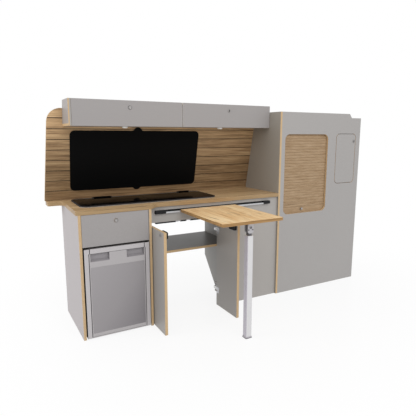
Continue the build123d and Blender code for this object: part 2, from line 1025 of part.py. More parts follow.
def hinge_arms():
    arms = []
    door_path = ((0, 0), (0, door_arm_rise), (arm_thick / 2 - hinge_inset - door_edge_gap, door_arm_rise))
    face = -hinge_inset - door_edge_gap
    door_plate = ((face, face + plate_thick), (door_plate_start, door_plate_end))
    for pivot_x, inward, turn in ((left_pivot_x, 1, 1), (right_pivot_x, -1, -1)):
        for z in (door_hinge_low, door_hinge_high):
            flat = Plane(origin=(pivot_x, door_pivot_y, z), x_dir=(inward, 0, 0), z_dir=(0, 0, turn))
            arms.append(flat * hinge_arm(door_path, arm_thick, door_plate))
    shelf_face = board - hinge_inset
    flap_path = (
        (0, 0),
        (0, flap_arm_rise),
        (shelf_face + arm_thick / 2, flap_arm_rise),
        (shelf_face + arm_thick / 2, 2 * flap_arm_rise),
    )
    flap_plate = ((shelf_face, shelf_face + plate_thick), (flap_arm_rise + arm_thick, flap_plate_end))
    for span in (left_flap_span, right_flap_span):
        for flat in flap_hinge_flats(span):
            arms.append(flat * hinge_arm(flap_path, flap_arm_thick, flap_plate))
    edge = -hatch_pivot_in - hatch_gap
    behind = board / 2
    hatch_rise = math.hypot(hatch_pivot_in, behind) + flap_arm_thick / 2 + small_gap
    hatch_path = (
        (0, 0),
        (0, hatch_rise),
        (edge - flap_arm_thick, hatch_rise),
        (edge - flap_arm_thick, behind + flap_arm_thick),
    )
    hatch_plate = ((edge - hatch_plate_length, edge - small_gap), (behind, behind + plate_thick))
    for flat in hatch_hinge_flats():
        arms.append(flat * hinge_arm(hatch_path, flap_arm_thick, hatch_plate))
    return group(arms)


def door_stop_strip():
    depth = (base_setback + strip_setback, base_setback + strip_setback + strip_depth)
    height = (fascia_bottom - strip_height, fascia_bottom)
    return group([box(span, depth, height) for span in strip_places])


def lock_strikers():
    plates = []
    front = base_setback + small_gap
    back = front + strip_depth + small_gap
    low = door_top + small_gap
    for before, after in zip(strip_places, strip_places[1:]):
        span = (before[1], after[0])
        plate = box(span, (front, back), (fascia_bottom - strike_plate, fascia_bottom))
        lip = box(span, (back - strike_plate, back), (low, fascia_bottom))
        plates.append(plate + lip)
    return group(plates)


# Drawer

drawer_front_left = board + small_gap
drawer_front_right = divider_left - small_gap
drawer_inner = (board + runner_space, divider_left - runner_space)


def drawer_lock_flat():
    return Plane(
        origin=(drawer_lock_across, 0, drawer_lock_height), x_dir=(1, 0, 0), z_dir=(0, -1, 0)
    )


def drawer_front():
    plate = box(
        (drawer_front_left, drawer_front_right), (0, board), (drawer_bottom, worktop_under - small_gap)
    )
    return plate - drawer_lock_flat() * lock_hole(board)


def drawer_box():
    outer = box(drawer_inner, (board, board + drawer_depth), (drawer_box_low, drawer_box_high))
    room = box(
        (drawer_inner[0] + drawer_side, drawer_inner[1] - drawer_side),
        (board + drawer_side, board + drawer_depth - drawer_side),
        (drawer_box_low + drawer_base, drawer_box_high + overrun),
    )
    tray = outer - room
    tray -= drawer_lock_flat() * Pos(0, 0, -board - lock_thick - face_gap) * extrude(
        Rectangle(lock_length + small_gap, lock_width + small_gap), amount=lock_thick + 2 * face_gap
    )
    half = runner_bar_height / 2
    height = (runner_centre - half, runner_centre + half)
    depth = (board + small_gap, board + drawer_depth)
    tray += box((board + runner_wall + face_gap, drawer_inner[0]), depth, height)
    tray += box((drawer_inner[1], divider_left - runner_wall - face_gap), depth, height)
    return group([tray, drawer_lock_flat() * lock_case(board)])


def drawer_runners():
    half = runner_height / 2
    height = (runner_centre - half, runner_centre + half)
    depth = (board + small_gap, board + drawer_depth + small_gap)
    reach = runner_space - runner_lip
    room = (height[0] + runner_wall, height[1] - runner_wall)
    left = box((board, board + reach), depth, height)
    left -= box((board + runner_wall, board + reach + overrun), (0, unit_depth), room)
    right = box((divider_left - reach, divider_left), depth, height)
    right -= box((divider_left - reach - overrun, divider_left - runner_wall), (0, unit_depth), room)
    return group([left, right])


# Fridge

frame_right = frame_left + frame_width
frame_front = -fridge_proud
frame_back = frame_front + frame_depth
door_left = frame_left + frame_strip + fridge_gap
door_right = frame_right - frame_strip - fridge_gap
fridge_door_low = frame_bottom + frame_sill + fridge_gap / 2
fridge_door_high = frame_top - frame_head - fridge_gap / 2
fridge_pivot = (door_left + fridge_pivot_in, frame_front + fridge_pivot_in)


def fridge_frame():
    frame = box((frame_left, frame_right), (frame_front, frame_back), (frame_bottom, frame_top))
    frame -= box(
        (frame_left + frame_strip, frame_right - frame_strip),
        (frame_front - overrun, frame_back + overrun),
        (frame_bottom + frame_sill, frame_top - frame_head),
    )
    for x in (frame_left + frame_strip + frame_slot_inset, frame_right - frame_strip - frame_slot_inset):
        frame -= box(
            (x - frame_slot / 2, x + frame_slot / 2),
            (frame_front - overrun, frame_front + frame_slot_depth),
            (frame_top - frame_head - overrun, frame_top + overrun),
        )
    x, y = fridge_pivot
    frame += upright(fridge_pin_radius, x, y, (frame_bottom, fridge_door_low + fridge_pin_length))
    frame += upright(
        fridge_pin_radius, x, y, (fridge_door_high - fridge_pin_length, frame_top - frame_head + frame_sill)
    )
    return frame


def decor_plate(gap, y):
    """Panel let into the door's face, smaller by a gap all round."""
    outline = bevelled(
        door_right - door_left - 2 * (decor_inset + gap), decor_top - decor_bottom - 2 * gap, decor_corner
    )
    face = Plane.XZ * Pos((door_left + door_right) / 2, (decor_bottom + decor_top) / 2) * outline
    return Pos(0, y[1], 0) * extrude(face, amount=y[1] - y[0])


def fridge_door():
    back = frame_front + fridge_door_thick
    door = box((door_left, door_right), (frame_front, back), (fridge_door_low, fridge_door_high))
    door += box(
        (door_left + fridge_liner_inset, door_right - fridge_liner_inset),
        (back, back + fridge_liner),
        (fridge_door_low + fridge_liner_inset, fridge_door_high - fridge_liner_inset),
    )
    grips = (
        (door_left + grip_inset, door_left + grip_inset + grip_left_width),
        (door_right - grip_inset - grip_right_width, door_right - grip_inset),
    )
    for span in grips:
        low = fridge_door_high - grip_height
        scoop = (
            (frame_front - overrun, low),
            (frame_front, low),
            (frame_front + grip_depth, low + grip_depth / 2),
            (frame_front + grip_depth, fridge_door_high + overrun),
            (frame_front - overrun, fridge_door_high + overrun),
        )
        door -= side_profile(scoop, span)
    door -= decor_plate(0, (frame_front - overrun, frame_front + decor_depth))
    x, y = fridge_pivot
    bore = fridge_pin_radius + pin_fit
    deep = fridge_pin_length + small_gap
    door -= upright(bore, x, y, (fridge_door_low - overrun, fridge_door_low + deep))
    door -= upright(bore, x, y, (fridge_door_high - deep, fridge_door_high + overrun))
    return door


def fridge_door_panel():
    return decor_plate(face_gap, (frame_front + face_gap, frame_front + decor_depth))


fridge_left = frame_left + fridge_body_inset
fridge_right = frame_right - fridge_body_inset
fridge_room = (
    (fridge_left + fridge_side, fridge_right - fridge_side),
    (frame_back, inner_depth - fridge_back),
    (frame_bottom + fridge_floor, frame_top - fridge_roof),
)


def fridge_body():
    """Insulated box on two feet, with four lugs screwed to the boards beside it."""
    body = box((fridge_left, fridge_right), (frame_back, inner_depth), (frame_bottom, frame_top - frame_sill))
    body -= box(fridge_room[0], (frame_back - overrun, fridge_room[1][1]), fridge_room[2])
    for x in (fridge_left, fridge_right - fridge_foot):
        body += box((x, x + fridge_foot), (frame_back, inner_depth), (0, frame_bottom))
    for z in (frame_bottom + lug_inset, frame_top - lug_inset - lug_height):
        for span in ((board, fridge_left), (fridge_right, divider_left)):
            body += box(span, (frame_back, frame_back + lug_depth), (z, z + lug_height))
    return body


def fridge_shelves():
    shelves = []
    (x0, x1), (y0, y1), (z0, z1) = fridge_room
    step = (z1 - z0) / (fridge_shelf_count + 1)
    for level in range(1, fridge_shelf_count + 1):
        z = z0 + level * step
        shelf = box((x0, x1), (y0 + fridge_foot, y1), (z, z + wire))
        pitch = (x1 - x0 - wire) / shelf_bars
        for index in range(shelf_bars):
            left = x0 + wire + index * pitch
            shelf -= box(
                (left, left + pitch - wire),
                (y0 + fridge_foot + wire, y1 - wire),
                (z - overrun, z + overrun),
            )
        shelves.append(shelf)
    return group(shelves)


# Hob and sink unit

recess_left = sink_unit_left + rim
recess_right = sink_unit_left + sink_unit_length - rim
recess_front = sink_unit_front + rim
recess_back = sink_unit_front + sink_unit_depth - rear_rim
glass_bottom = unit_top - glass_thick - face_gap
glass_floor = glass_bottom - face_gap


def pressing(left, front, length, depth, corner, z):
    """Outside of a pressed pan, with corners cut so that the sheet keeps its thickness."""
    bevel = 2 * (sheet + corner * (1 - math.sqrt(1 / 2))) - math.sqrt(2) * sheet
    outline = bevelled(length + 2 * sheet, depth + 2 * sheet, bevel)
    low = z[0] - sheet
    return Pos(left + length / 2, front + depth / 2, low) * extrude(outline, amount=z[1] - low)


pans = (
    (hob_pan_left, pan_front, pan_length, pan_depth, pan_corner, (deck, worktop_top)),
    (sink_pan_left, pan_front, pan_length, pan_depth, pan_corner, (deck, worktop_top)),
    (bowl_left, bowl_front, bowl_length, bowl_depth, bowl_corner, (bowl_bottom, deck)),
)


def steel_hob_sink():
    tray = plan_plate(
        sink_unit_left,
        sink_unit_front,
        sink_unit_length,
        sink_unit_depth,
        sink_unit_corner,
        (worktop_top, unit_top),
    )
    for sizes in pans:
        tray += pressing(*sizes)
    tray -= plan_plate(
        recess_left,
        recess_front,
        recess_right - recess_left,
        recess_back - recess_front,
        sink_unit_corner - rim,
        (glass_floor, unit_top + overrun),
    )
    for left, front, length, depth, corner, (low, high) in pans:
        tray -= plan_plate(left, front, length, depth, corner, (low, high + overrun))
    drain_x = bowl_left + bowl_length / 2
    drain_y = bowl_front + bowl_depth / 2
    floor = bowl_bottom - sheet
    tray += Pos(drain_x, drain_y, floor) * extrude(guide_outline(2 * drain_radius), amount=-drain_length)
    tray -= upright(
        drain_radius - sheet, drain_x, drain_y, (floor - drain_length - overrun, bowl_bottom + overrun)
    )
    return tray


def grate():
    """Square wire stand with four arms towards the burner, about its own middle."""
    top = worktop_top
    height = (top - grate_wire, top)
    inner = 2 * (grate_half - grate_wire)
    frame = extrude(Rectangle(2 * grate_half, 2 * grate_half) - Rectangle(inner, inner), amount=grate_wire)
    stand = Pos(0, 0, height[0]) * frame
    corner = (grate_half - grate_wire, grate_half)
    for index in range(grate_arms):
        turn = Rot(0, 0, 360 / grate_arms * index)
        stand += turn * box((grate_inner, grate_half), (-grate_wire / 2, grate_wire / 2), height)
        stand += turn * box(corner, corner, (deck, top))
    return stand


def hob_burners():
    pieces = []
    for x in burner_places:
        crown = Cone(burner_radius, crown_radius, crown_height, align=(Align.CENTER, Align.CENTER, Align.MIN))
        cup = extrude(guide_outline(burner_cup_width), amount=-burner_cup_depth)
        cup = Pos(x, burner_y, deck - sheet) * cup
        pieces += [Pos(x, burner_y, deck) * crown, cup, Pos(x, burner_y, 0) * grate()]
    return group(pieces)


def hob_knob(index):
    y = hob_knob_front + index * hob_knob_pitch
    low = deck + face_gap
    knob = upright(hob_knob_radius, hob_knob_across, y, (low, low + hob_knob_base))
    half = hob_knob_radius - small_gap
    return knob + box(
        (hob_knob_across - hob_knob_grip / 2, hob_knob_across + hob_knob_grip / 2),
        (y - half, y + half),
        (low + hob_knob_base, low + hob_knob_height),
    )


def tap_spout():
    x, y = tap_place
    z = deck + face_gap
    body = upright(tap_radius, x, y, (z, z + tap_height))
    middle = z + spout_rise
    top = middle + spout_thick / 2
    spout = box((x - spout_length, x), (y - spout_width / 2, y + spout_width / 2), (top - spout_thick, top))
    return body + spout + upright(nozzle_radius, x - spout_length, y, (top - nozzle_length, top))


# Glass lids

glass_left = recess_left + glass_side_gap
glass_right = recess_right - glass_side_gap
lid_length = (glass_right - glass_left - glass_middle_gap) / 2
right_glass_left = glass_left + lid_length + glass_middle_gap
glass_front = recess_front + glass_side_gap
lid_axis_y = recess_back - glass_side_gap + lid_axis_back / 2
glass_back = recess_back - glass_side_gap
lid_axis_z = unit_top + barrel_radius + barrel_clearance


def glass_lid(left, inner_side, hinge):
    """Glass with one long knuckle between the two posts of its fixed hinge block."""
    depth = glass_back - glass_front
    outline = Pos(left + lid_length / 2, glass_front + depth / 2) * Rectangle(lid_length, depth)
    outer = 0 if inner_side > 0 else -1
    front_corner = outline.vertices().group_by(Axis.X)[outer].group_by(Axis.Y)[0]
    outline = fillet(front_corner, glass_corner)
    outer_back = outline.vertices().group_by(Axis.X)[outer].sort_by(Axis.Y)[-1]
    outline = fillet(outer_back, glass_corner)
    lid = Pos(0, 0, glass_bottom) * extrude(outline, amount=glass_thick)
    top = glass_bottom + glass_thick
    span = (hinge[0] + post_length + barrel_clearance, hinge[1] - post_length - barrel_clearance)
    leaf_front = glass_back - leaf_reach
    lid += along_x(barrel_radius, lid_axis_y, lid_axis_z, span)
    lid += box(span, (leaf_front, glass_back - glass_side_gap), (top, lid_axis_z))
    lid += box(span, (leaf_front, lid_axis_y), (unit_top + barrel_clearance, lid_axis_z))
    return lid - along_x(lid_pin_radius + pin_fit, lid_axis_y, lid_axis_z, hinge)


def lid_hinge_blocks():
    """Bar behind the knuckle with a post at each end, and the pin between the posts."""
    blocks = []
    back = recess_back + block_foot
    height = (unit_top, lid_axis_z + barrel_radius)
    for low, high in (left_lid_hinge, right_lid_hinge):
        block = box((low, high), (lid_axis_y + barrel_radius + barrel_clearance, back), height)
        for span in ((low, low + post_length), (high - post_length, high)):
            block += box(span, (lid_axis_y - barrel_radius, back), height)
        pin = (low + post_length, high - post_length)
        blocks.append(block + along_x(lid_pin_radius, lid_axis_y, lid_axis_z, pin))
    return group(blocks)


# Table rail, table and leg

table_under = table_top_height - table_thick
rail_front = tall_front
rail_bottom = table_under
rail_top_z = rail_bottom + rail_height
lip_top = rail_bottom + rail_lip_height


def table_rail():
    span = (rail_left + end_cap_left, rail_right - end_cap_right)
    back = box(span, (base_setback - rail_wall, base_setback), (rail_bottom, rail_top_z))
    floor = box(span, (rail_front, base_setback), (rail_bottom, rail_bottom + rail_wall))
    lip = box(span, (rail_front, rail_front + rail_lip), (rail_bottom, lip_top))
    return back + floor + lip


def rail_end_caps():
    caps = []
    for left, right in (
        (rail_left, rail_left + end_cap_left),
        (rail_right - end_cap_right, rail_right),
    ):
        cap = box((left, right), (rail_front - end_cap_step, base_setback), (rail_bottom, rail_top_z))
        front_edges = cap.edges().filter_by(Axis.X).group_by(Axis.Y)[0]
        caps.append(chamfer(front_edges, end_cap_bevel))
    return group(caps)


table_right = table_left + table_width
table_back = rail_front - hook_wall - hook_gap


def table_top():
    outline = Pos(table_left + table_width / 2, (table_front + table_back) / 2) * Rectangle(
        table_width, table_back - table_front
    )
    outline = fillet(outline.vertices().group_by(Axis.Y)[0], table_corner)
    return Pos(0, 0, table_under) * extrude(outline, amount=table_thick)


leg_pivot_z = table_under - leg_pivot_drop
leg_top = leg_pivot_z - leg_top_drop


def leg_bracket():
    """Flange under the table, two cheeks beside the leg's tongue, pin and bent spring catch."""
    half = tongue_depth / 2 + bracket_side_gap
    outer = half + bracket_wall
    bracket = box(
        (leg_across - leg_width / 2 - bracket_flange, leg_across + leg_width / 2 + bracket_flange),
        (leg_setback - outer - bracket_lap, leg_setback + outer + bracket_lap),
        (table_under - bracket_wall, table_under),
    )
    sides = (leg_across - leg_width / 2, leg_across + leg_width / 2)
    height = (table_under - bracket_height, table_under)
    for span in ((leg_setback - outer, leg_setback - half), (leg_setback + half, leg_setback + outer)):
        cheek = box(sides, span, height)
        corners = cheek.edges().filter_by(Axis.Y).group_by(Axis.Z)[0]
        bracket += chamfer(corners, bracket_bevel)
    reach = outer + small_gap
    bracket += along_y(leg_pin_radius, leg_across, leg_pivot_z, (leg_setback - reach, leg_setback + reach))
    catch = Rot(0, catch_angle, 0) * Box(catch_length, catch_thick, catch_width)
    low = table_under - catch_length / 2 * math.sin(math.radians(catch_angle)) - bracket_wall
    return bracket + Pos(leg_across - leg_width / 4, leg_setback - outer - catch_thick / 2, low) * catch


def table_fittings():
    span = (table_left + hook_end_gap, table_right - hook_end_gap)
    bridge_low = lip_top + hook_gap
    bridge_back = rail_front + rail_lip + 2 * hook_wall
    edge = box(span, (table_back, table_back + hook_wall), (table_under, table_top_height))
    bridge = box(span, (table_back, bridge_back), (bridge_low, bridge_low + hook_wall))
    tongue = box(
        span,
        (bridge_back - hook_wall, bridge_back),
        (rail_bottom + rail_wall + small_gap, bridge_low + hook_wall),
    )
    return group([edge + bridge + tongue, leg_bracket()])


def leg_tube():
    """Tube, and the tongue that is plugged into its upper end and turns on the bracket's pin."""
    section = bevelled(leg_width, leg_depth, leg_corner)
    section -= Rectangle(leg_width - 2 * leg_wall, leg_depth - 2 * leg_wall)
    tube = Pos(leg_across, leg_setback, foot_height) * extrude(section, amount=leg_top - foot_height)
    plug_x = leg_width / 2 - leg_wall
    plug_y = leg_depth / 2 - leg_wall
    tongue = box(
        (leg_across - plug_x, leg_across + plug_x),
        (leg_setback - plug_y, leg_setback + plug_y),
        (leg_top - tongue_plug, leg_top),
    )
    tongue += box(
        (leg_across - tongue_width / 2, leg_across + tongue_width / 2),
        (leg_setback - tongue_depth / 2, leg_setback + tongue_depth / 2),
        (leg_top, leg_pivot_z + tongue_head),
    )
    reach = tongue_depth / 2 + overrun
    tongue -= along_y(
        leg_pin_radius + pin_fit, leg_across, leg_pivot_z, (leg_setback - reach, leg_setback + reach)
    )
    return group([tube, tongue])


def leg_foot():
    """Cap a little wider than the tube, with a plug inside it."""
    outline = bevelled(leg_width + 2 * foot_proud, leg_depth + 2 * foot_proud, leg_corner)
    cap = extrude(outline, amount=foot_height)
    plug = Rectangle(leg_width - 2 * leg_wall, leg_depth - 2 * leg_wall)
    cap += extrude(plug, amount=foot_height + foot_plug)
    return Pos(leg_across, leg_setback, 0) * cap


save("left_end_panel", left_end_panel())
save("fridge_divider", fridge_divider())
save("wheel_arch_divider", wheel_arch_divider())
save("bay_shelf", bay_shelf())
save("base_front_panel", base_front_panel())
save("worktop", worktop())
save("backboard", backboard())
save("black_back_panel", black_back_panel())
save("tall_left_side", tall_left_side())
save("tall_right_side", tall_right_side())
save("tall_front_panel", tall_front_panel())
save("tall_shelves", tall_shelves())
save("tambour_tracks", tambour_tracks())
save("tambour_curtain", tambour_curtain())
save("tambour_end_rail", tambour_end_rail())
save("tambour_knob", tambour_knob())
save("hatch_door", hatch_door())
save("hatch_fittings", hatch_fittings())
save("hatch_button", hatch_button())
save("locker_left_end", locker_left_end())
save("locker_boards", locker_boards())
save("left_flap", flap(left_flap_span, left_flap_lock))
save("left_flap_fittings", flap_fittings(left_flap_lock))
save("left_flap_button", flap_lock_flat(left_flap_lock) * lock_button())
save("right_flap", flap(right_flap_span, right_flap_lock))
save("right_flap_fittings", flap_fittings(right_flap_lock))
save("right_flap_button", flap_lock_flat(right_flap_lock) * lock_button())
save("downlights", downlights())
save("left_door", bay_door(left_pivot_x, -1))
save("left_door_fittings", door_fittings(left_pivot_x, -1))
save("left_door_button", door_lock_flat(left_pivot_x, -1) * lock_button())
save("right_door", bay_door(right_pivot_x, 1))
save("right_door_fittings", door_fittings(right_pivot_x, 1))
save("right_door_button", door_lock_flat(right_pivot_x, 1) * lock_button())
save("hinge_arms", hinge_arms())
save("door_stop_strip", door_stop_strip())
save("lock_strikers", lock_strikers())
save("drawer_front", drawer_front())
save("drawer_box", drawer_box())
save("drawer_button", drawer_lock_flat() * lock_button())
save("drawer_runners", drawer_runners())
save("fridge_frame", fridge_frame())
save("fridge_door", fridge_door())
save("fridge_door_panel", fridge_door_panel())
save("fridge_body", fridge_body())
save("fridge_shelves", fridge_shelves())
save("steel_hob_sink", steel_hob_sink())
save("hob_burners", hob_burners())
save("hob_knob_left", hob_knob(0))
save("hob_knob_right", hob_knob(1))
save("tap_spout", tap_spout())
save("left_glass_lid", glass_lid(glass_left, 1, left_lid_hinge))
save("right_glass_lid", glass_lid(right_glass_left, -1, right_lid_hinge))
save("lid_hinge_blocks", lid_hinge_blocks())
save("table_rail", table_rail())
save("rail_end_caps", rail_end_caps())
save("table_top", table_top())
save("table_fittings", table_fittings())
save("leg_tube", leg_tube())
save("leg_foot", leg_foot())
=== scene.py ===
import math

import bmesh
import bpy
from mathutils import Matrix, Vector

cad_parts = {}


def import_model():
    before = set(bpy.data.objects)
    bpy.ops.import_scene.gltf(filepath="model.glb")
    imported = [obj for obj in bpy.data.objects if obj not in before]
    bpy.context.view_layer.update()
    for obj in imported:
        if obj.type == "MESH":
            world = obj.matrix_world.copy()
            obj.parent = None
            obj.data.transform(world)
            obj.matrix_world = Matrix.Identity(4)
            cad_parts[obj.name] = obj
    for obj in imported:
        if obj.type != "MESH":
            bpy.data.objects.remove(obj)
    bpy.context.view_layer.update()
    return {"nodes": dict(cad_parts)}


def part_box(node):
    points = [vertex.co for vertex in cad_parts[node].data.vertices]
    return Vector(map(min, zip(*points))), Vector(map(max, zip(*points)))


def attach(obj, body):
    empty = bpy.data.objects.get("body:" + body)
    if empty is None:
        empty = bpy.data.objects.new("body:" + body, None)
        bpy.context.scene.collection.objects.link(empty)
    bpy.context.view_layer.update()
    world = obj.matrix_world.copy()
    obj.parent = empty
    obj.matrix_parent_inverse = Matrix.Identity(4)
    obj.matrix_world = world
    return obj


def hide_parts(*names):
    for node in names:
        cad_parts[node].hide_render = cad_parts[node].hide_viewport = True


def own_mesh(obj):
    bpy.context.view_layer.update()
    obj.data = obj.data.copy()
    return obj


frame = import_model()
nodes = frame["nodes"]

# The unit's own millimetres start at the bottom front outer corner of its left end panel:
# x to the right, y to the back, z up. MIDDLE is the row frame's origin in x and y.
MIDDLE = (1104.5, 6.0)


def spot(x, y, z):
    """A place in the unit's own millimetres, as metres in the row frame."""
    return Vector(((x - MIDDLE[0]) / 1000, (y - MIDDLE[1]) / 1000, z / 1000))


def own(point):
    """A place in the row frame, as the unit's own millimetres."""
    return Vector((point[0] * 1000 + MIDDLE[0], point[1] * 1000 + MIDDLE[1], point[2] * 1000))


def span(node):
    """Lower and upper corner of a node's box, in the unit's own millimetres."""
    return tuple(own(corner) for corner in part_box(node))


# Materials


def linear(colour):
    """Screen colour 0-255 to the linear values that shaders take."""
    values = [value / 255 for value in colour]
    return (*(c / 12.92 if c <= 0.04045 else ((c + 0.055) / 1.055) ** 2.4 for c in values), 1.0)


def shade(colour, factor):
    """Linear values of a screen colour, made lighter or darker by a factor."""
    return (*(c * factor for c in linear(colour)[:3]), 1.0)


class Look:
    """A material with short ways to add and join nodes."""

    def __init__(self, name, colour, rough, metal=0.0, specular=0.5):
        self.material = bpy.data.materials.new(name)
        self.material.use_nodes = True
        self.tree = self.material.node_tree
        self.shader = self.tree.nodes["Principled BSDF"]
        self.shader.inputs["Base Color"].default_value = linear(colour)
        self.shader.inputs["Roughness"].default_value = rough
        self.shader.inputs["Metallic"].default_value = metal
        self.shader.inputs["Specular IOR Level"].default_value = specular
        self.place = self.add("ShaderNodeTexCoord").outputs["Object"]

    def add(self, kind, **settings):
        node = self.tree.nodes.new(kind)
        for key, value in settings.items():
            setattr(node, key, value)
        return node

    def join(self, source, target):
        self.tree.links.new(source, target)

    def put(self, value, socket):
        """Joins a socket to another one, or sets it to a plain value."""
        if isinstance(value, bpy.types.NodeSocket):
            self.join(value, socket)
        else:
            socket.default_value = value

    def feed(self, node, **values):
        """Sets or joins a node's inputs by name; underscores stand for spaces."""
        for key, value in values.items():
            self.put(value, node.inputs[key.replace("_", " ")])
        return node

    def stretch(self, scale, shift=(0, 0, 0), source=None):
        node = self.add("ShaderNodeMapping")
        self.feed(node, Vector=source or self.place, Scale=scale, Location=shift)
        return node.outputs["Vector"]

    def noise(self, scale, detail, rough=0.5, twist=0.0, shift=(0, 0, 0), source=None):
        """Noise with its own scale, per metre, along each axis."""
        place = self.stretch(scale, shift, source)
        node = self.add("ShaderNodeTexNoise")
        self.feed(node, Vector=place, Scale=1.0, Detail=detail, Roughness=rough, Distortion=twist)
        return node.outputs["Fac"]

    def math(self, operation, *values):
        node = self.add("ShaderNodeMath", operation=operation)
        for number, value in enumerate(values):
            self.put(value, node.inputs[number])
        return node.outputs[0]

    def ramp(self, factor, stops):
        node = self.add("ShaderNodeValToRGB")
        elements = node.color_ramp.elements
        while len(elements) < len(stops):
            elements.new(0.5)
        for element, (position, colour) in zip(elements, stops):
            element.position = position
            element.color = linear(colour)
        self.join(factor, node.inputs["Fac"])
        return node.outputs["Color"]

    def mix(self, factor, first, second, blend="MIX"):
        node = self.add("ShaderNodeMix", data_type="RGBA", blend_type=blend)
        for number, value in ((0, factor), (6, first), (7, second)):
            self.put(value, node.inputs[number])
        return node.outputs[2]

    def spread(self, value, low, high, start=0.0, end=1.0):
        """Maps a value that runs from low to high onto start to end."""
        node = self.add("ShaderNodeMapRange")
        self.feed(node, Value=value, From_Min=low, From_Max=high, To_Min=start, To_Max=end)
        return node.outputs[0]

    def axis(self, name):
        node = self.add("ShaderNodeSeparateXYZ")
        self.join(self.place, node.inputs[0])
        return node.outputs[name]

    def colour(self, socket):
        self.join(socket, self.shader.inputs["Base Color"])

    def rough(self, socket, low, high):
        self.join(self.spread(socket, 0.0, 1.0, low, high), self.shader.inputs["Roughness"])

    def bump(self, height, depth, strength):
        node = self.add("ShaderNodeBump")
        self.feed(node, Height=height, Distance=depth, Strength=strength)
        self.join(node.outputs["Normal"], self.shader.inputs["Normal"])


def laminate(name, colour):
    """Fine-textured matt laminate with a slight drift in tone."""
    drift_share, rough, grain_share = 0.03, 0.42, 0.12
    look = Look(name, colour, rough, specular=0.35)
    drift = look.noise((1.6, 1.6, 1.6), 3.0)
    grain = look.noise((420, 420, 420), 2.0)
    tone = look.mix(drift, shade(colour, 1 - drift_share), shade(colour, 1 + drift_share))
    specks = look.ramp(grain, [(0.35, (90, 90, 90)), (0.65, (225, 225, 225))])
    look.colour(look.mix(grain_share, tone, specks, "SOFT_LIGHT"))
    look.rough(grain, rough - 0.05, rough + 0.08)
    look.bump(grain, 0.00015, 0.35)
    return look.material


def plywood(name, axis):
    """Cut edge of a birch board: veneers along one axis, end grain in the darker ones."""
    dark, pale, palest = (172, 139, 99), (206, 178, 138), (218, 190, 150)
    two_veneers = 0.0046
    look = Look(name, pale, 0.55, specular=0.3)
    turns = look.math("MULTIPLY", look.axis(axis), 2 * math.pi / two_veneers)
    bands = look.math("MULTIPLY_ADD", look.math("SINE", turns), 0.5, 0.5)
    fibre = look.noise(tuple(700 if axis == other else 60 for other in "XYZ"), 4.0, 0.6)
    mixed = look.math("ADD", look.math("MULTIPLY", bands, 0.45), look.math("MULTIPLY", fibre, 0.55))
    look.colour(look.ramp(mixed, [(0.25, dark), (0.5, pale), (0.8, palest)]))
    look.bump(mixed, 0.0002, 0.4)
    return look.material


# Planks of the backboard, in metres: a joint's height, the planks' pitch, a joint's half width.
PLANK_FOOT, PLANK_PITCH, PLANK_JOINT = 0.8555, 0.06708, 0.0042
# How far the grain moves along x and y from plank to plank, and how far their tones differ.
PLANK_SHIFT, PLANK_TONES = (3.37, 1.91), 0.03
# Painted light on the backboard's high part, which stands in the locker's shade: its colour is
# multiplied there.
PAINTED_LIGHT_FROM, PAINTED_LIGHT_TO, PAINTED_LIGHT_SHARE, PAINTED_LIGHT_COLOUR = 1.0, 1.28, 0.62, (3.35, 3.6, 4.05, 1.0)


def plank_rows(look):
    """Each plank's count with its fraction, a place whose grain differs by plank, and a tone."""
    rows = look.math("DIVIDE", look.math("SUBTRACT", look.axis("Z"), PLANK_FOOT), PLANK_PITCH)
    row = look.math("FLOOR", rows)
    moves = [look.math("MULTIPLY", row, shift) for shift in PLANK_SHIFT]
    offset = look.feed(look.add("ShaderNodeCombineXYZ"), X=moves[0], Y=moves[1])
    moved = look.add("ShaderNodeVectorMath", operation="ADD")
    look.join(look.place, moved.inputs[0])
    look.join(offset.outputs[0], moved.inputs[1])
    tone = look.feed(look.add("ShaderNodeTexWhiteNoise", noise_dimensions="1D"), W=row)
    return rows, moved.outputs[0], tone.outputs["Value"]


def plank_painted_light_and_joints(look, colour, rows):
    """Paints light on the colour where the locker shades it, and darkens the joints between planks.
    """
    share = look.spread(look.axis("Z"), PAINTED_LIGHT_FROM, PAINTED_LIGHT_TO, 0.0, PAINTED_LIGHT_SHARE)
    colour = look.mix(share, colour, PAINTED_LIGHT_COLOUR, "MULTIPLY")
    part = look.math("FRACT", rows)
    nearest = look.math("MINIMUM", part, look.math("SUBTRACT", 1.0, part))
    distance = look.math("DIVIDE", look.math("MULTIPLY", nearest, PLANK_PITCH), PLANK_JOINT)
    seam = look.ramp(distance, [(0.35, (52, 40, 30)), (0.85, (255, 255, 255))])
    return look.mix(1.0, colour, seam, "MULTIPLY")


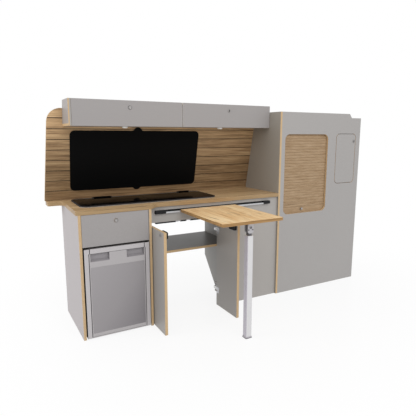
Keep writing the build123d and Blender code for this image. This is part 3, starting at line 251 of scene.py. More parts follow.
def oak(name, stops, rough=0.4, streak=(2.6, 150, 150), broad=(0.8, 16, 16), shift=0.0,
        crack=0.5, split=(1.5, 62, 62), along="X", planks=False):
    """Long-grained oak decor along X or Y; streak, broad and split are scales of its grain."""
    look = Look(name, stops[1][1], rough, specular=0.3)
    source = look.place
    if along == "Y":
        swap = look.add("ShaderNodeCombineXYZ")
        look.feed(swap, X=look.axis("Y"), Y=look.axis("X"), Z=look.axis("Z"))
        source = swap.outputs[0]
    if planks:
        rows, source, tone = plank_rows(look)
    wave = look.noise(broad, 4.0, 0.55, 0.9, (shift, shift, shift), source)
    fine = look.noise(streak, 7.0, 0.62, 0.25, (0, shift, 0), source)
    pores = look.noise((18, 620, 620), 3.0, 0.6, source=source)
    splits = look.noise(split, 3.0, 0.5, 0.4, (shift, 0, shift), source)
    figure = look.math("ADD", look.math("MULTIPLY", wave, 0.40), look.math("MULTIPLY", fine, 0.60))
    if planks:
        change = look.math("MULTIPLY_ADD", tone, PLANK_TONES, -PLANK_TONES / 2)
        figure = look.math("ADD", figure, change)
    colour = look.ramp(figure, stops)
    dots = look.ramp(pores, [(0.30, (150, 150, 150)), (0.44, (255, 255, 255))])
    colour = look.mix(0.35, colour, dots, "MULTIPLY")
    lines = look.ramp(splits, [(0.30, (90, 74, 60)), (0.36, (255, 255, 255))])
    colour = look.mix(crack, colour, lines, "MULTIPLY")
    if planks:
        colour = plank_painted_light_and_joints(look, colour, rows)
    look.colour(colour)
    look.rough(fine, rough - 0.05, rough + 0.10)
    look.bump(look.math("ADD", fine, look.math("MULTIPLY", pores, 0.5)), 0.0003, 0.5)
    return look.material


# Scale of a metal's finish by the axis that it is brushed along.
BRUSHED = {None: (300, 300, 300), "X": (6, 1500, 1500), "Z": (1500, 1500, 6)}


def metal(name, colour, rough, axis=None, metallic=1.0):
    """Bare or plated metal, brushed along an axis where one is given."""
    look = Look(name, colour, rough, metallic)
    brush = look.noise(BRUSHED[axis], 3.0, 0.6)
    cloud = look.noise((9, 9, 9), 3.0)
    look.colour(look.mix(cloud, shade(colour, 0.93), shade(colour, 1.05)))
    look.rough(brush, rough - 0.07, rough + 0.09)
    look.bump(brush, 0.00006, 0.25)
    return look.material


def plastic(name, colour, rough, grain=900, depth=0.00006, specular=0.5):
    """Moulded plastic or fine paint with a spark-eroded grain."""
    look = Look(name, colour, rough, specular=specular)
    pebble = look.noise((grain, grain, grain), 2.0)
    cloud = look.noise((5, 5, 5), 2.0)
    look.colour(look.mix(cloud, shade(colour, 0.96), shade(colour, 1.04)))
    look.rough(pebble, rough - 0.04, rough + 0.06)
    look.bump(pebble, depth, 0.3)
    return look.material


def gloss(name, colour, rough, specular):
    """Black glass or gloss sheet with faint smears."""
    look = Look(name, colour, rough, specular=specular)
    smear = look.noise((4, 7, 7), 5.0, 0.6, 0.8)
    look.colour(look.mix(smear, linear(colour), shade(colour, 1.25)))
    look.rough(smear, rough, rough + 0.06)
    return look.material


def fridge_sheet():
    """Painted sheet, with a painted reflection that darkens it from its upper left to its lower
    right.
    """
    look = Look("fridge_sheet", (152, 148, 150), 0.36, specular=0.35)
    low, high = spot(60, 0, 60), spot(400, 0, 440)
    right = look.spread(look.axis("X"), low.x, high.x, 0.0, 0.5)
    down = look.spread(look.axis("Z"), high.z, low.z, 0.0, 0.5)
    painted_reflection = look.math("ADD", right, down)
    grain = look.noise((500, 500, 500), 2.0)
    mixed = look.math("ADD", painted_reflection, look.math("MULTIPLY_ADD", grain, 0.10, -0.05))
    stops = [(0.0, (160, 156, 158)), (0.55, (150, 146, 148)), (1.0, (126, 122, 125))]
    look.colour(look.ramp(mixed, stops))
    look.rough(grain, 0.32, 0.42)
    look.bump(grain, 0.0001, 0.3)
    return look.material


def lens():
    """Frosted lens that glows a little."""
    look = Look("lens", (244, 244, 240), 0.3)
    frost = look.noise((900, 900, 900), 2.0)
    look.colour(look.mix(frost, linear((236, 236, 232)), linear((252, 252, 248))))
    look.shader.inputs["Emission Color"].default_value = linear((255, 252, 244))
    look.shader.inputs["Emission Strength"].default_value = 0.5
    look.bump(frost, 0.0001, 0.3)
    return look.material


GREY = laminate("grey_laminate", (165, 161, 157))
# Painted shade: a darker copy of the grey laminate for the flaps and the drawer front.
FRONT_SHADED_GREY = laminate("front_laminate_painted_shade", (159, 155, 154))
# Painted light: a lighter copy of the grey laminate for the base front below the fascia, which the
# table shades.
BASE_LIT_GREY = laminate("base_laminate_painted_light", (170, 166, 162))
# Painted shade: a darker, warmer copy of the grey laminate for the tall unit's left side, which the
# backboard and the locker shade.
SIDE_SHADED_GREY = laminate("side_laminate_painted_shade", (158, 152, 143))
# Painted shade: a darker copy of the grey laminate for the locker's left end.
END_SHADED_GREY = laminate("locker_end_laminate_painted_shade", (160, 154, 151))
# Painted light: a near-white copy of the grey laminate for the faces at the flaps' gap, which
# lightens the gap's shade.
GAP_LIT_GREY = laminate("gap_laminate_painted_light", (232, 229, 225))
# Painted light: a lighter, lilac copy of the grey laminate for the left end panel, tinted like the
# side light.
PALE_LIT_GREY = laminate("pale_laminate_painted_light", (176, 170, 171))
MID_GREY = laminate("mid_grey_laminate", (167, 164, 162))
# Painted shade: a much darker copy of the grey laminate for the bay's shelf, which the worktop
# shades.
SHELF_SHADED_GREY = laminate("shelf_laminate_painted_shade", (101, 99, 97))
# Painted shade: a darker copy of the grey laminate for the wheel-arch divider in the bay.
ARCH_SHADED_GREY = laminate("arch_laminate_painted_shade", (160, 158, 155))
PLY = {axis: plywood("ply_edge_" + axis.lower(), axis) for axis in "XYZ"}
OAK_TOP = oak(
    "oak_worktop",
    [(0.32, (124, 96, 62)), (0.44, (176, 144, 104)),
     (0.56, (206, 175, 133)), (0.70, (232, 206, 166))],
)
OAK_BACK = oak(
    "oak_backboard",
    [(0.34, (90, 68, 45)), (0.44, (119, 93, 64)),
     (0.55, (142, 115, 82)), (0.68, (166, 139, 103))],
    rough=0.55, streak=(4, 150, 150), broad=(3, 40, 40), crack=0.8, split=(4, 170, 170),
    planks=True,
)
OAK_TABLE = oak(
    "oak_table",
    [(0.30, (182, 134, 82)), (0.42, (228, 186, 132)),
     (0.55, (248, 216, 168)), (0.72, (255, 236, 196))],
    streak=(4.5, 62, 62), broad=(3.2, 15, 15), shift=3.7, crack=0.6, split=(4, 48, 48), along="Y",
)
OAK_SLAT = oak(
    "oak_slats",
    [(0.34, (140, 112, 82)), (0.44, (159, 132, 101)),
     (0.56, (172, 146, 116)), (0.66, (187, 162, 132))],
    rough=0.55, streak=(14, 130, 130), broad=(6, 60, 60), crack=0.2,
)
# Painted light: a paler copy of the slats' oak for their eased edges and grooves, which lightens
# the grooves' shade.
SLAT_LIT_EDGE = oak(
    "oak_slat_edge_painted_light",
    [(0.34, (170, 142, 108)), (0.44, (190, 162, 128)),
     (0.56, (202, 176, 142)), (0.66, (214, 190, 156))],
    rough=0.55, streak=(14, 130, 130), crack=0.2,
)
BIRCH = oak(
    "birch_face",
    [(0.30, (192, 164, 124)), (0.45, (203, 176, 137)),
     (0.58, (210, 184, 146)), (0.75, (218, 194, 158))],
    rough=0.55, streak=(1.4, 34, 34), broad=(0.7, 5, 5), crack=0.0,
)
OAK_EDGE = oak(
    "oak_edge",
    [(0.30, (128, 100, 68)), (0.44, (156, 128, 92)),
     (0.56, (172, 144, 106)), (0.72, (186, 158, 118))],
    streak=(4, 130, 240), crack=0.6,
)
TABLE_EDGE = oak(
    "oak_table_edge",
    [(0.30, (116, 84, 48)), (0.44, (152, 116, 72)),
     (0.56, (174, 136, 88)), (0.72, (192, 154, 104))],
    streak=(4, 130, 240), crack=0.6,
)
STEEL = metal("brushed_steel", (176, 176, 178), 0.30, "X")
NICKEL = metal("nickel", (205, 204, 203), 0.18)
SATIN = metal("satin_nickel", (160, 157, 156), 0.46, metallic=0.4)
RING = metal("ring_nickel", (126, 123, 122), 0.42, metallic=0.4)
PRESSED = metal("pressed_steel", (190, 190, 192), 0.28)
ALU = metal("aluminium", (217, 216, 217), 0.34, "Z", metallic=0.35)
# Painted shade: a darker copy of the aluminium for the leg's left and right faces.
ALU_SHADED_SIDE = metal("aluminium_side_painted_shade", (186, 182, 190), 0.38, "Z", metallic=0.35)
RAIL_ALU = metal("rail_aluminium", (192, 192, 194), 0.36, "X", metallic=0.5)
CHROME = metal("bracket_steel", (182, 180, 183), 0.3, metallic=0.5)
BOLT = metal("bolt_steel", (112, 110, 112), 0.35, metallic=0.6)
LOCK_GREY = metal("dull_nickel", (164, 161, 159), 0.5, metallic=0.3)
BLACK_GLASS = gloss("black_glass", (6, 5, 5), 0.05, 0.015)
BLACK_PANEL = gloss("black_panel", (5, 5, 5), 0.5, 0.06)
BLACK = plastic("black_plastic", (18, 18, 19), 0.5, specular=0.25)
CAST = plastic("black_enamel", (34, 34, 36), 0.38, 260, 0.0002)
DARK = plastic("dark_fitting", (52, 50, 50), 0.42)
# Painted shade: a darker copy of the fridge's silver for the inside of its grip recesses.
RECESS_PAINTED_SHADE = plastic("fridge_recess_painted_shade", (150, 146, 149), 0.5)
# Painted reflection: the lids' hinge blocks are painted the shaded brown of the backboard, as bare
# steel would mirror it.
BLOCK_PAINTED_REFLECTION = plastic("lid_hinge_block", (66, 54, 42), 0.5, specular=0.2)
TONGUE = plastic("leg_tongue", (84, 82, 84), 0.4)
# Painted shade: a darker copy of the fridge's silver for the edges in the gaps round its door, its
# door panel and its frame's opening.
GAP_PAINTED_SHADE = plastic("fridge_gap_painted_shade", (112, 109, 111), 0.6, specular=0.2)
FRAME = plastic("fridge_frame_silver", (189, 185, 186), 0.38, 700, 0.00008)
DARK_BODY = plastic("fridge_case", (26, 26, 28), 0.6, specular=0.2)
LIGHT_PLASTIC = plastic("light_plastic", (208, 206, 206), 0.45)
WHITE_PLASTIC = plastic("white_plastic", (238, 238, 236), 0.35)
FOOT = plastic("foot_plastic", (176, 172, 178), 0.45)
RUBBER = plastic("rubber", (44, 43, 45), 0.75, 500, specular=0.2)
FRIDGE = plastic("fridge_silver", (176, 172, 173), 0.38, 700, 0.00008)
LINER = plastic("fridge_liner", (222, 222, 221), 0.35)
FRIDGE_SHEET = fridge_sheet()
LENS = lens()


# Materials of the CAD nodes

# A face looks along an axis where that part of its normal is past this limit.
SQUARE = 0.5
# Metres by which a fitting's rosette may stand behind or before its board's face.
SKIN = 0.0002


def paint(name, base, *rules):
    """Gives a CAD node its material, and others to the faces that each rule picks."""
    mesh = nodes[name].data
    mesh.materials.clear()
    mesh.materials.append(base)
    for material, _ in rules:
        mesh.materials.append(material)
    for face in mesh.polygons:
        face.material_index = 0
        for index, (_, picks) in enumerate(rules):
            if picks(face.normal, face.center):
                face.material_index = index + 1
                break


def across(axis):
    """Picks faces that stand across an axis, so the cut edges of a board of that thickness axis."""
    number = "XYZ".index(axis)
    return lambda normal, centre: abs(normal[number]) < SQUARE


def facing(axis, way):
    """Picks faces that look along an axis, where way is 1, or against it, where way is -1."""
    number = "XYZ".index(axis)
    return lambda normal, centre: normal[number] * way > SQUARE


def between(axis, low, high):
    """Picks faces whose middle lies between two of the unit's own millimetres along an axis."""
    number = "XYZ".index(axis)
    ends = [spot(value, value, value)[number] for value in (low, high)]
    return lambda normal, centre: ends[0] < centre[number] < ends[1]


def every(*rules):
    return lambda normal, centre: all(rule(normal, centre) for rule in rules)


def either(*rules):
    return lambda normal, centre: any(rule(normal, centre) for rule in rules)


# Boards with a face and bare edges, by their thickness axis.
# The left end panel takes painted light; the wheel-arch divider, the shelf, the tall left side and
# the locker's end take painted shade.
for name, face, axis in (
    ("left_end_panel", PALE_LIT_GREY, "X"),
    ("fridge_divider", GREY, "X"),
    ("wheel_arch_divider", ARCH_SHADED_GREY, "X"),
    ("bay_shelf", SHELF_SHADED_GREY, "Z"),
    ("tall_left_side", SIDE_SHADED_GREY, "X"),
    ("tall_right_side", GREY, "X"),
    ("tall_front_panel", MID_GREY, "Y"),
    ("tambour_tracks", GREY, "X"),
    ("locker_left_end", END_SHADED_GREY, "X"),
    ("left_door", GREY, "X"),
    ("right_door", GREY, "X"),
    ("hatch_door", MID_GREY, "Y"),
    ("tall_shelves", GREY, "Z"),
):
    paint(name, face, (PLY[axis], across(axis)))

# Nodes of one material.
for material, names in (
    (BLACK_PANEL, ("black_back_panel",)),
    (BIRCH, ("drawer_box",)),
    (OAK_SLAT, ("tambour_curtain", "tambour_end_rail")),
    (SATIN, ("drawer_button", "left_flap_button", "left_door_button", "right_door_button",
             "right_flap_button", "hatch_button", "tambour_knob")),
    (NICKEL, ("tap_spout",)),
    (PRESSED, ("hinge_arms", "lock_strikers", "drawer_runners")),
    (WHITE_PLASTIC, ("downlights",)),
    (STEEL, ("steel_hob_sink",)),
    (CAST, ("hob_burners",)),
    (BLACK_GLASS, ("left_glass_lid", "right_glass_lid")),
    (BLACK, ("hob_knob_left", "hob_knob_right", "door_stop_strip", "rail_end_caps")),
    (BLOCK_PAINTED_REFLECTION, ("lid_hinge_blocks",)),
    (CHROME, ("table_fittings",)),
    (FOOT, ("leg_foot",)),
    (LIGHT_PLASTIC, ("fridge_shelves",)),
):
    for name in names:
        paint(name, material)

# Painted light: the divider's front and the flaps' faces at their gap take the near-white laminate,
# which lightens the gap's shade.
locker_divider = every(between("X", 740, 770), between("Z", 1290, 1415))
paint(
    "locker_boards",
    GREY,
    (GAP_LIT_GREY, every(locker_divider, facing("Y", -1))),
    (GREY, locker_divider),
    (PLY["Z"], across("Z")),
)
paint("left_flap", FRONT_SHADED_GREY, (GAP_LIT_GREY, facing("X", 1)), (PLY["Y"], across("Y")))
paint("right_flap", FRONT_SHADED_GREY, (GAP_LIT_GREY, facing("X", -1)), (PLY["Y"], across("Y")))

panel_depth, under_fascia = between("Y", 60, 84), between("Z", -1, 662)
# Painted light: the base front below the fascia takes the lighter copy of the laminate.
paint(
    "base_front_panel",
    GREY,
    (PLY["Y"], every(across("Y"), panel_depth)),
    (BASE_LIT_GREY, under_fascia),
)

drawer_lock = every(between("X", 208, 236), between("Z", 705, 733))
drawer_face = between("Y", -5, 0.5)
paint(
    "drawer_front",
    FRONT_SHADED_GREY,
    (SATIN, every(drawer_lock, either(drawer_face, across("Y")))),
    (PLY["Y"], across("Y")),
)

paint("worktop", OAK_TOP, (OAK_EDGE, across("Z")))
paint("table_top", OAK_TABLE, (TABLE_EDGE, across("Z")))
paint(
    "backboard",
    OAK_BACK,
    (BIRCH, lambda normal, centre: normal.y > 0.3),
    (PLY["Y"], lambda normal, centre: abs(normal.x) > 0.3 or abs(normal.z) > 0.75),
)

left_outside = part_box("left_door")[0].x + SKIN
right_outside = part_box("right_door")[1].x - SKIN
paint("left_door_fittings", BLACK, (SATIN, lambda normal, centre: centre.x < left_outside))
paint("right_door_fittings", BLACK, (SATIN, lambda normal, centre: centre.x > right_outside))
for name, board_name in (
    ("left_flap", "left_flap"),
    ("right_flap", "right_flap"),
    ("hatch", "hatch_door"),
):
    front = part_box(board_name)[0].y + SKIN
    paint(name + "_fittings", BLACK, (SATIN, lambda normal, centre, front=front: centre.y < front))

# Painted shade: the back wall and floor of the groove behind the rail's lip are painted black.
groove_painted_shade = between("Y", 52.4, 65)
paint("table_rail", RAIL_ALU, (BLACK, every(groove_painted_shade, either(facing("Y", -1), facing("Z", 1)))))
# Painted shade: the leg's left and right faces take the darker aluminium.
paint(
    "leg_tube",
    ALU,
    (TONGUE, between("Z", 640.5, 710)),
    (ALU_SHADED_SIDE, lambda normal, centre: abs(normal.x) > 0.7),
)

# Painted shade: the faces inside the slots at the frame's head are painted black.
slot_painted_shade = every(between("Y", -7.5, -2.5), between("Z", 532, 600))
frame_inner = between("X", 46, 401)
paint(
    "fridge_frame",
    FRAME,
    (BLACK, every(slot_painted_shade, either(facing("X", 1), facing("X", -1), facing("Y", -1)))),
    (GAP_PAINTED_SHADE, every(across("Y"), frame_inner)),
    (DARK_BODY, either(across("Y"), facing("Y", 1))),
)
grip_zone, grip_depth = between("Z", 485, 533), between("Y", -7.5, 15)
grip_back, lined_side = between("Y", 13.5, 14.5), between("Y", 27, 100)
paint(
    "fridge_door",
    FRIDGE,
    (LINER, lined_side),
    (RECESS_PAINTED_SHADE, every(grip_zone, either(grip_back, every(grip_depth, across("Y"))))),
    (GAP_PAINTED_SHADE, across("Y")),
)
paint("fridge_door_panel", FRIDGE_SHEET, (GAP_PAINTED_SHADE, across("Y")))
lined_room = every(between("X", 60, 388), between("Y", 37, 420), between("Z", 60, 530))
paint("fridge_body", LINER, (DARK_BODY, lambda normal, centre: not lined_room(normal, centre)))


# Fittings, trims and screws, in the unit's own millimetres


class Shape:
    """Mesh of plates, turned forms and beads."""

    def __init__(self):
        self.mesh = bmesh.new()

    def loop(self, points):
        return [self.mesh.verts.new(spot(*point)) for point in points]

    def circle(self, centre, side, other, radius, steps):
        angles = [2 * math.pi * step / steps for step in range(steps)]
        ways = [side * math.cos(angle) + other * math.sin(angle) for angle in angles]
        return self.loop([centre + way * radius for way in ways])

    def band(self, low, high):
        """Faces between two closed loops of as many points."""
        count = len(low)
        for index in range(count):
            after = (index + 1) % count
            self.mesh.faces.new((low[index], low[after], high[after], high[index]))

    def plate(self, outline, thick, origin, u, v, bevel):
        """Plate with a bevelled outer rim, raised from its origin along u x v."""
        origin, u, v = Vector(origin), Vector(u), Vector(v)
        up = u.cross(v)
        inner = []
        count = len(outline)
        for index, (x, y) in enumerate(outline):
            ahead = Vector(outline[(index + 1) % count]) - Vector((x, y))
            behind = Vector((x, y)) - Vector(outline[index - 1])
            first, second = (Vector((-way.y, way.x)).normalized() for way in (behind, ahead))
            middle = first + second
            middle = middle * (bevel * 2 / middle.length_squared)
            inner.append((x + middle.x, y + middle.y))
        rings = []
        for points, height in ((outline, 0), (outline, thick - bevel), (inner, thick)):
            rings.append(self.loop([origin + u * x + v * y + up * height for x, y in points]))
        self.mesh.faces.new(list(reversed(rings[0])))
        self.band(rings[0], rings[1])
        self.band(rings[1], rings[2])
        self.mesh.faces.new(rings[2])

    def turned(self, profile, origin, axis, steps):
        """Form turned about an axis from radius and height pairs; ends on the axis close it."""
        origin, axis = Vector(origin), Vector(axis).normalized()
        side = axis.orthogonal().normalized()
        other = axis.cross(side)
        rings = []
        for radius, height in profile:
            centre = origin + axis * height
            if radius == 0:
                rings.append([self.mesh.verts.new(spot(*centre))])
            else:
                rings.append(self.circle(centre, side, other, radius, steps))
        pairs = list(zip(rings, rings[1:]))
        if profile[0][0] and profile[-1][0]:
            pairs.append((rings[-1], rings[0]))
        for low, high in pairs:
            if len(low) > 1 and len(high) > 1:
                self.band(low, high)
                continue
            point, ring = (low[0], high) if len(low) == 1 else (high[0], low)
            for index in range(steps):
                edge = (ring[index], ring[(index + 1) % steps])
                self.mesh.faces.new((point, *(edge[::-1] if len(low) == 1 else edge)))

    def bead(self, path, radius, sides):
        """Round bead along a closed path of points, mitred at its bends."""
        points = [Vector(point) for point in path]
        rings = []
        normal = None
        for index, point in enumerate(points):
            ahead = (points[(index + 1) % len(points)] - points[index - 1]).normalized()
            if normal is None:
                normal = ahead.orthogonal().normalized()
            normal = (normal - ahead * normal.dot(ahead)).normalized()
            rings.append(self.circle(point, normal, ahead.cross(normal), radius, sides))
        for ring, after in zip(rings, rings[1:] + rings[:1]):
            self.band(ring, after)

    def screw(self, origin, axis, radius=3.4, rise=1.4):
        """Pan-head screw with a socket."""
        profile = (
            (0, rise * 0.3), (radius * 0.36, rise * 0.3), (radius * 0.42, rise),
            (radius * 0.72, rise * 0.92), (radius, rise * 0.35), (radius, 0), (0, 0),
        )
        self.turned(profile[::-1], origin, axis, 12)

    def done(self, name, material, body):
        """Makes the mesh a piece that rides on a body and takes the given material."""
        bmesh.ops.recalc_face_normals(self.mesh, faces=self.mesh.faces)
        data = bpy.data.meshes.new(name)
        self.mesh.to_mesh(data)
        self.mesh.free()
        for face in data.polygons:
            face.use_smooth = True
        data.set_sharp_from_angle(angle=math.radians(32))
        data.materials.append(material)
        piece = bpy.data.objects.new(name, data)
        bpy.context.scene.collection.objects.link(piece)
        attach(piece, body)
        return piece


def rounded(left, right, low, high, radius, steps=4):
    """Rounded rectangle as a loop of points, anticlockwise."""
    points = []
    corners = ((right, low, -90), (right, high, 0), (left, high, 90), (left, low, 180))
    for x, y, start in corners:
        middle_x = x - math.copysign(radius, x - (left + right) / 2)
        middle_y = y - math.copysign(radius, y - (low + high) / 2)
        for step in range(steps + 1):
            angle = math.radians(start + 90 * step / steps)
            right_by, up_by = radius * math.cos(angle), radius * math.sin(angle)
            points.append((middle_x + right_by, middle_y + up_by))
    return points


def strip(width, length):
    return [(0, 0), (width, 0), (width, length), (0, length)]


def tambour_slats():
    """Slats with eased edges on a fabric back."""
    low, high = span("tambour_curtain")
    pitch, groove, ease, fabric, travel = 21.0, 0.8, 1.8, 1.2, 550.0
    front, web = low.y, high.y - fabric
    profile = [(high.y, low.z), (web, low.z)]
    for index in range(int((high.z - low.z) // pitch)):
        bottom, top = low.z + index * pitch + groove, low.z + (index + 1) * pitch - groove
        profile += [(web, bottom)]
        for edge, way in ((bottom, 1), (top, -1)):
            for turn in [math.radians(angle) for angle in (0, 30, 60, 90)][::way]:
                inward, along = ease * (1 - math.sin(turn)), ease * (1 - math.cos(turn))
                profile += [(front + inward, edge + way * along)]
        profile += [(web, top)]
    profile += [(web, high.z), (high.y, high.z)]
    shape = Shape()
    ends = [shape.loop([(x, y, z) for y, z in profile]) for x in (low.x, high.x)]
    shape.band(*ends)
    shape.mesh.faces.new(ends[0])
    shape.mesh.faces.new(ends[1][::-1])
    slats = shape.done("tambour_slats", OAK_SLAT, "tambour")
    slats.data.materials.append(SLAT_LIT_EDGE)
    # Painted light: the eased edges and grooves take the paler oak.
    for face in slats.data.polygons:
        face.material_index = int(face.normal.y > -0.85 and abs(face.normal.x) < SQUARE)
    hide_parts("tambour_curtain")
    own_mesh(slats)


# The way that each push lock looks, and the locks whose slot shows.
LOCKS = {
    "drawer": (0, -1, 0),
    "left_door": (-1, 0, 0),
    "right_door": (1, 0, 0),
    "left_flap": (0, -1, 0),
    "right_flap": (0, -1, 0),
    "hatch": (0, -1, 0),
}
SLOTTED = ("right_flap", "hatch", "left_door")


def lock_trims():
    """Ring round each push button, a dished face on it and the slots that show."""
    ring_profile = ((10.2, 0.0), (12.9, 0.0), (12.7, 0.7), (12.1, 1.2), (11.2, 1.2), (10.5, 0.7))
    dish_profile = ((0, 0.0), (8.4, 0.0), (8.2, 0.55), (7.4, 0.7), (6.8, 0.35), (0, 0.2))
    up = Vector((0, 0, 1))
    for name, way in LOCKS.items():
        low, high = span(name + "_button")
        axis = Vector(way)
        face = (low + high) / 2 + axis * (abs((high - low).dot(axis)) / 2)
        slotted = name in SLOTTED
        ring = Shape()
        ring.turned(ring_profile, face - axis * 2, axis, 32)
        ring.done(name + "_lock_ring", LOCK_GREY if slotted else RING, name)
        dish = Shape()
        dish.turned(dish_profile, face, axis, 28)
        button = name + "_lock_button"
        dish.done(name + "_button_face", LOCK_GREY if slotted else SATIN, button)
        if slotted:
            slot = Shape()
            outline = rounded(-3.4, 3.4, -7.4, 7.4, 3.0)
            slot.plate(outline, 0.7, face + axis * 0.2, up.cross(axis), up, 0.1)
            slot.done(name + "_button_slot", BLACK, button)


# Heights of the two hinges of each bay door.
DOOR_HINGES = (("low", 119), ("high", 556))


def hinge_plate(name, origin, u, v, body, notch, reach):
    """Cup plate on a door's inner side, open where the arm swings through, with its screws."""
    edge, arm, half, corner, thick = 0.8, 9.0, 23.0, 3.0, 1.1
    outline = [
        (edge, arm), (notch, arm), (notch, -arm), (edge, -arm),
        (edge, corner - half), (edge + corner, -half),
        (reach - corner, -half), (reach, corner - half),
        (reach, half - corner), (reach - corner, half),
        (edge + corner, half), (edge, half - corner),
    ]
    origin, u, v = Vector(origin), Vector(u), Vector(v)
    shape = Shape()
    shape.plate(outline, thick, origin, u, v, 0.25)
    for side in (-16, 16):
        shape.screw(origin + u * (notch / 2 + 3) + v * side + u.cross(v) * 1.0, u.cross(v))
    shape.done(name, PRESSED, body)


def hinge_plates():
    """Cup plates: two on each bay door and flap, two on the hatch."""
    flap_inset, hatch_inset = 110, 70
    for level, z in DOOR_HINGES:
        for name, way in (("left_door", -1), ("right_door", 1)):
            low, high = span(name)
            origin = (high.x if way < 0 else low.x, high.y, z)
            hinge_plate(f"{name}_plate_{level}", origin, (0, -1, 0), (0, 0, way), name, 14.5, 33)
    for name in ("left_flap", "right_flap"):
        low, high = span(name)
        for side, x in (("left", low.x + flap_inset), ("right", high.x - flap_inset)):
            origin = (x, high.y, low.z)
            hinge_plate(f"{name}_plate_{side}", origin, (0, 0, 1), (1, 0, 0), name, 22.5, 42)
    low, high = span("hatch_door")
    for level, z in (("low", low.z + hatch_inset), ("high", high.z - hatch_inset)):
        origin = (low.x, high.y, z)
        hinge_plate("hatch_plate_" + level, origin, (1, 0, 0), (0, 0, -1), "hatch", 28.5, 48)


def hinge_covers():
    """Covers over the arms' plates in the bay, one per door hinge, and the plates' screws."""
    cover = rounded(96, 143, -9.5, 9.5, 3)
    thick, sunk, bevel = 11, 0.2, 2
    for side, wall, out in (("left", 448.0, 1), ("right", 988.0, -1)):
        for level, z in DOOR_HINGES:
            shape = Shape()
            shape.plate(cover, thick, (wall - sunk * out, 0, z), (0, 1, 0), (0, 0, out), bevel)
            shape.done(f"{side}_door_hinge_cover_{level}", NICKEL, "carcass")
            shape = Shape()
            for y in (102, 134):
                for rise in (-14, 14):
                    shape.screw((wall, y, z + rise), (out, 0, 0), 3.6, 1.5)
            shape.done(f"{side}_door_hinge_screws_{level}", DARK, "carcass")


def fridge_seal():
    """Gasket on the inner side of the fridge's door."""
    inset, depth, corner = 5, 31.2, 9
    low, high = span("fridge_door")
    edge = rounded(low.x + inset, high.x - inset, low.z + inset, high.z - inset, corner)
    shape = Shape()
    shape.bead([(x, depth, z) for x, z in edge], 2.9, 10)
    shape.done("fridge_door_seal", RUBBER, "fridge_door")


def lamp_lenses():
    """Domed lens of each downlight in a thin ring."""
    dome = ((0, 0), (14.5, 0), (14.2, 0.8), (12.5, 1.5), (0, 1.9))
    ring = ((14.9, 0), (17.4, 0), (17.2, 0.7), (16.2, 1.0), (15.1, 0.6))
    low, high = span("downlights")
    for name, x in (("left", 373), ("right", 1080)):
        shape = Shape()
        for profile in (dome, ring):
            shape.turned(profile, (x, (low.y + high.y) / 2, low.z), (0, 0, -1), 32)
        shape.done(name + "_lamp_lens", LENS, "carcass")


def rail_screws():
    """Screws in the groove of the table's rail."""
    shape = Shape()
    for x in range(580, 1340, 108):
        shape.screw((x, 63.0, 736.5), (0, -1, 0), 3.0, 1.3)
    shape.done("table_rail_screws", DARK, "carcass")


def table_screws():
    """Screws of the leg's bracket, the head of its pin and its two bolts."""
    under = span("table_top")[0].z
    flange, cheek = 3.0, -449.4
    shape = Shape()
    for x in (846, 922):
        for y in (-441, -423):
            shape.screw((x, y, under - flange), (0, 0, -1), 3.6, 1.4)
    shape.done("table_bracket_screws", PRESSED, "table")
    shape = Shape()
    head = ((0, 0), (7.2, 0), (7.2, 3.6), (6.2, 4.8), (3.2, 4.8), (2.8, 3.4), (0, 3.4))
    shape.turned(head, (884, cheek, 690), (0, -1, 0), 28)
    bolt = ((0, 0), (4.6, 0), (4.6, 2.0), (3.8, 2.8), (2.0, 2.8), (1.7, 1.6), (0, 1.6))
    for x in (870.5, 897.5):
        shape.turned(bolt, (x, cheek, 677), (0, -1, 0), 6)
    shape.done("table_bracket_bolts", BOLT, "table")


def foot_pad():
    """Rubber sole round the lower end of the leg's foot."""
    over, thick, bevel = 0.5, 3.0, 0.5
    low, high = span("leg_foot")
    outline = rounded(low.x - over, high.x + over, low.y - over, high.y + over, 2.5, 3)
    shape = Shape()
    shape.plate(outline, thick, (0, 0, 0.1), (1, 0, 0), (0, 1, 0), bevel)
    shape.done("leg_foot_pad", RUBBER, "leg")


def sink_waste():
    """Rim and plug of the waste in the bowl's floor."""
    rim = ((15.0, 0.0), (20.5, 0.0), (20.2, 0.9), (18.0, 1.3), (15.6, 0.9))
    plug = ((0, 0), (14.2, 0), (14.2, 0.5), (9.0, 1.4), (4.0, 3.2), (0, 3.6))
    shape = Shape()
    for profile in (rim, plug):
        shape.turned(profile, (720, 240.5, 652.2), (0, 0, 1), 32)
    shape.done("sink_waste", NICKEL, "carcass")


def tray_rim_black_band():
    """Black band round the tray's rim, over its top and most of its outer edge."""
    corner = 48
    section = ((-0.4, 6.6), (-0.4, -0.2), (5.4, -0.2), (5.4, 0.4))
    low, high = span("steel_hob_sink")
    shape = Shape()
    rings = []
    for inset, drop in section:
        sides = (low.x + inset, high.x - inset, low.y + inset, high.y - inset)
        edge = rounded(*sides, corner - inset, 8)
        rings.append(shape.loop([(x, y, high.z - drop) for x, y in edge]))
    for ring, after in zip(rings, rings[1:] + rings[:1]):
        shape.band(ring, after)
    shape.done("tray_rim_black_band", RUBBER, "carcass")


def knob_marks():
    """White line on each hob knob."""
    outline = rounded(-0.8, 0.8, 2.0, 11.5, 0.6, 2)
    thick, sunk, bevel = 0.35, 0.05, 0.08
    for side in ("left", "right"):
        low, high = span("hob_knob_" + side)
        middle = (low + high) / 2
        origin = (middle.x, middle.y, high.z - sunk)
        shape = Shape()
        shape.plate(outline, thick, origin, (1, 0, 0), (0, 1, 0), bevel)
        shape.done("hob_knob_mark_" + side, WHITE_PLASTIC, "hob_knob_" + side)


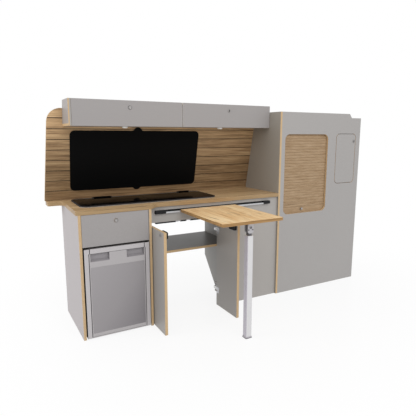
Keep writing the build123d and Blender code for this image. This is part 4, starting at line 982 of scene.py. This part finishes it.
def locker_edges():
    """Thin edge strips on the front and the outer foot of the locker's left end."""
    thick, bevel = 0.4, 0.1
    low, high = span("locker_left_end")
    shape = Shape()
    origin = (low.x + 7.5, low.y, low.z + 1)
    shape.plate(strip(9, 157), thick, origin, (1, 0, 0), (0, 0, 1), bevel)
    shape.done("locker_end_band", GREY, "carcass")
    shape = Shape()
    origin = (low.x, high.y - 1, low.z + 0.6)
    shape.plate(strip(high.y - low.y - 2, 14), thick, origin, (0, -1, 0), (0, 0, 1), bevel)
    shape.done("locker_foot_strip", PLY["Z"], "carcass")


tambour_slats()
lock_trims()
hinge_plates()
hinge_covers()
fridge_seal()
lamp_lenses()
rail_screws()
table_screws()
foot_pad()
sink_waste()
tray_rim_black_band()
knob_marks()
locker_edges()


# Floor, light and camera


def studio_rays(tree, level):
    """White for what the camera, gloss and glass see, and a lower level for light on the object."""
    seen = tree.nodes.new("ShaderNodeLightPath")
    largest = seen.outputs["Is Camera Ray"]
    for kind in ("Is Glossy Ray", "Is Transmission Ray"):
        node = tree.nodes.new("ShaderNodeMath")
        node.operation = "MAXIMUM"
        tree.links.new(largest, node.inputs[0])
        tree.links.new(seen.outputs[kind], node.inputs[1])
        largest = node.outputs[0]
    strength = tree.nodes.new("ShaderNodeMapRange")
    strength.inputs["To Min"].default_value = level
    strength.inputs["To Max"].default_value = 1.0
    tree.links.new(largest, strength.inputs["Value"])
    return strength.outputs[0]


def stage_floor():
    """Pale floor that fades to plain white away from the unit and keeps its shadow."""
    bpy.ops.mesh.primitive_plane_add(size=40, location=(0, 0, -0.0004))
    floor = bpy.context.object
    floor.name = "floor"
    look = Look("floor", (246, 246, 247), 0.30, specular=0.3)
    distance = look.add("ShaderNodeVectorMath", operation="LENGTH")
    look.join(look.stretch((0.62, 0.8, 1)), distance.inputs[0])
    fade = look.add("ShaderNodeMapRange", interpolation_type="SMOOTHSTEP")
    look.feed(fade, Value=distance.outputs["Value"], From_Min=0.5, From_Max=1.6)
    look.feed(fade, To_Min=0.86, To_Max=1.0)
    glow = look.add("ShaderNodeEmission")
    look.join(studio_rays(look.tree, 0.72), glow.inputs["Strength"])
    blend = look.add("ShaderNodeMixShader")
    look.join(fade.outputs[0], blend.inputs[0])
    look.join(look.shader.outputs[0], blend.inputs[1])
    look.join(glow.outputs[0], blend.inputs[2])
    look.join(blend.outputs[0], look.tree.nodes["Material Output"].inputs["Surface"])
    floor.data.materials.append(look.material)


def world(level):
    scene_world = bpy.data.worlds.new("studio")
    bpy.context.scene.world = scene_world
    scene_world.use_nodes = True
    tree = scene_world.node_tree
    background = tree.nodes["Background"]
    background.inputs["Color"].default_value = (1, 1, 1, 1)
    tree.links.new(studio_rays(tree, level), background.inputs["Strength"])


def softbox(name, place, target, size, power):
    """Rectangular lamp in the row frame that looks from its place at a target."""
    data = bpy.data.lights.new(name, "AREA")
    data.shape = "RECTANGLE"
    data.size, data.size_y = size
    data.energy = power
    lamp = bpy.data.objects.new(name, data)
    bpy.context.scene.collection.objects.link(lamp)
    lamp.location = place
    lamp.rotation_mode = "QUATERNION"
    lamp.rotation_quaternion = (target - place).to_track_quat("-Z", "Y")


def camera():
    """The photo's camera: its focal length in pixels, its place and its three axes."""
    focal_px, picture_px, sensor = 415.4742, 416, 36
    place = spot(-479.28, -2388.76, 1218)
    right = Vector((0.874005, -0.485916, 0.001011))
    up = Vector((0.082901, 0.151162, 0.985027))
    back = Vector((-0.478793, -0.860834, 0.1724))
    data = bpy.data.cameras.new("camera")
    data.sensor_width = sensor
    data.lens = sensor * focal_px / picture_px
    cam = bpy.data.objects.new("camera", data)
    bpy.context.scene.collection.objects.link(cam)
    cam.matrix_world = Matrix.Translation(place) @ Matrix((right, up, back)).transposed().to_4x4()
    bpy.context.scene.camera = cam


stage_floor()
world(0.76)
softbox("key", Vector((-0.4, -4.6, 3.9)), Vector((0.1, 0, 0.7)), (4.2, 2.4), 105)
softbox("rim", Vector((-4.4, 0.6, 2.0)), Vector((-1.1, 0.1, 0.5)), (1.8, 1.8), 42)
camera()
bpy.context.scene.view_settings.view_transform = "Standard"
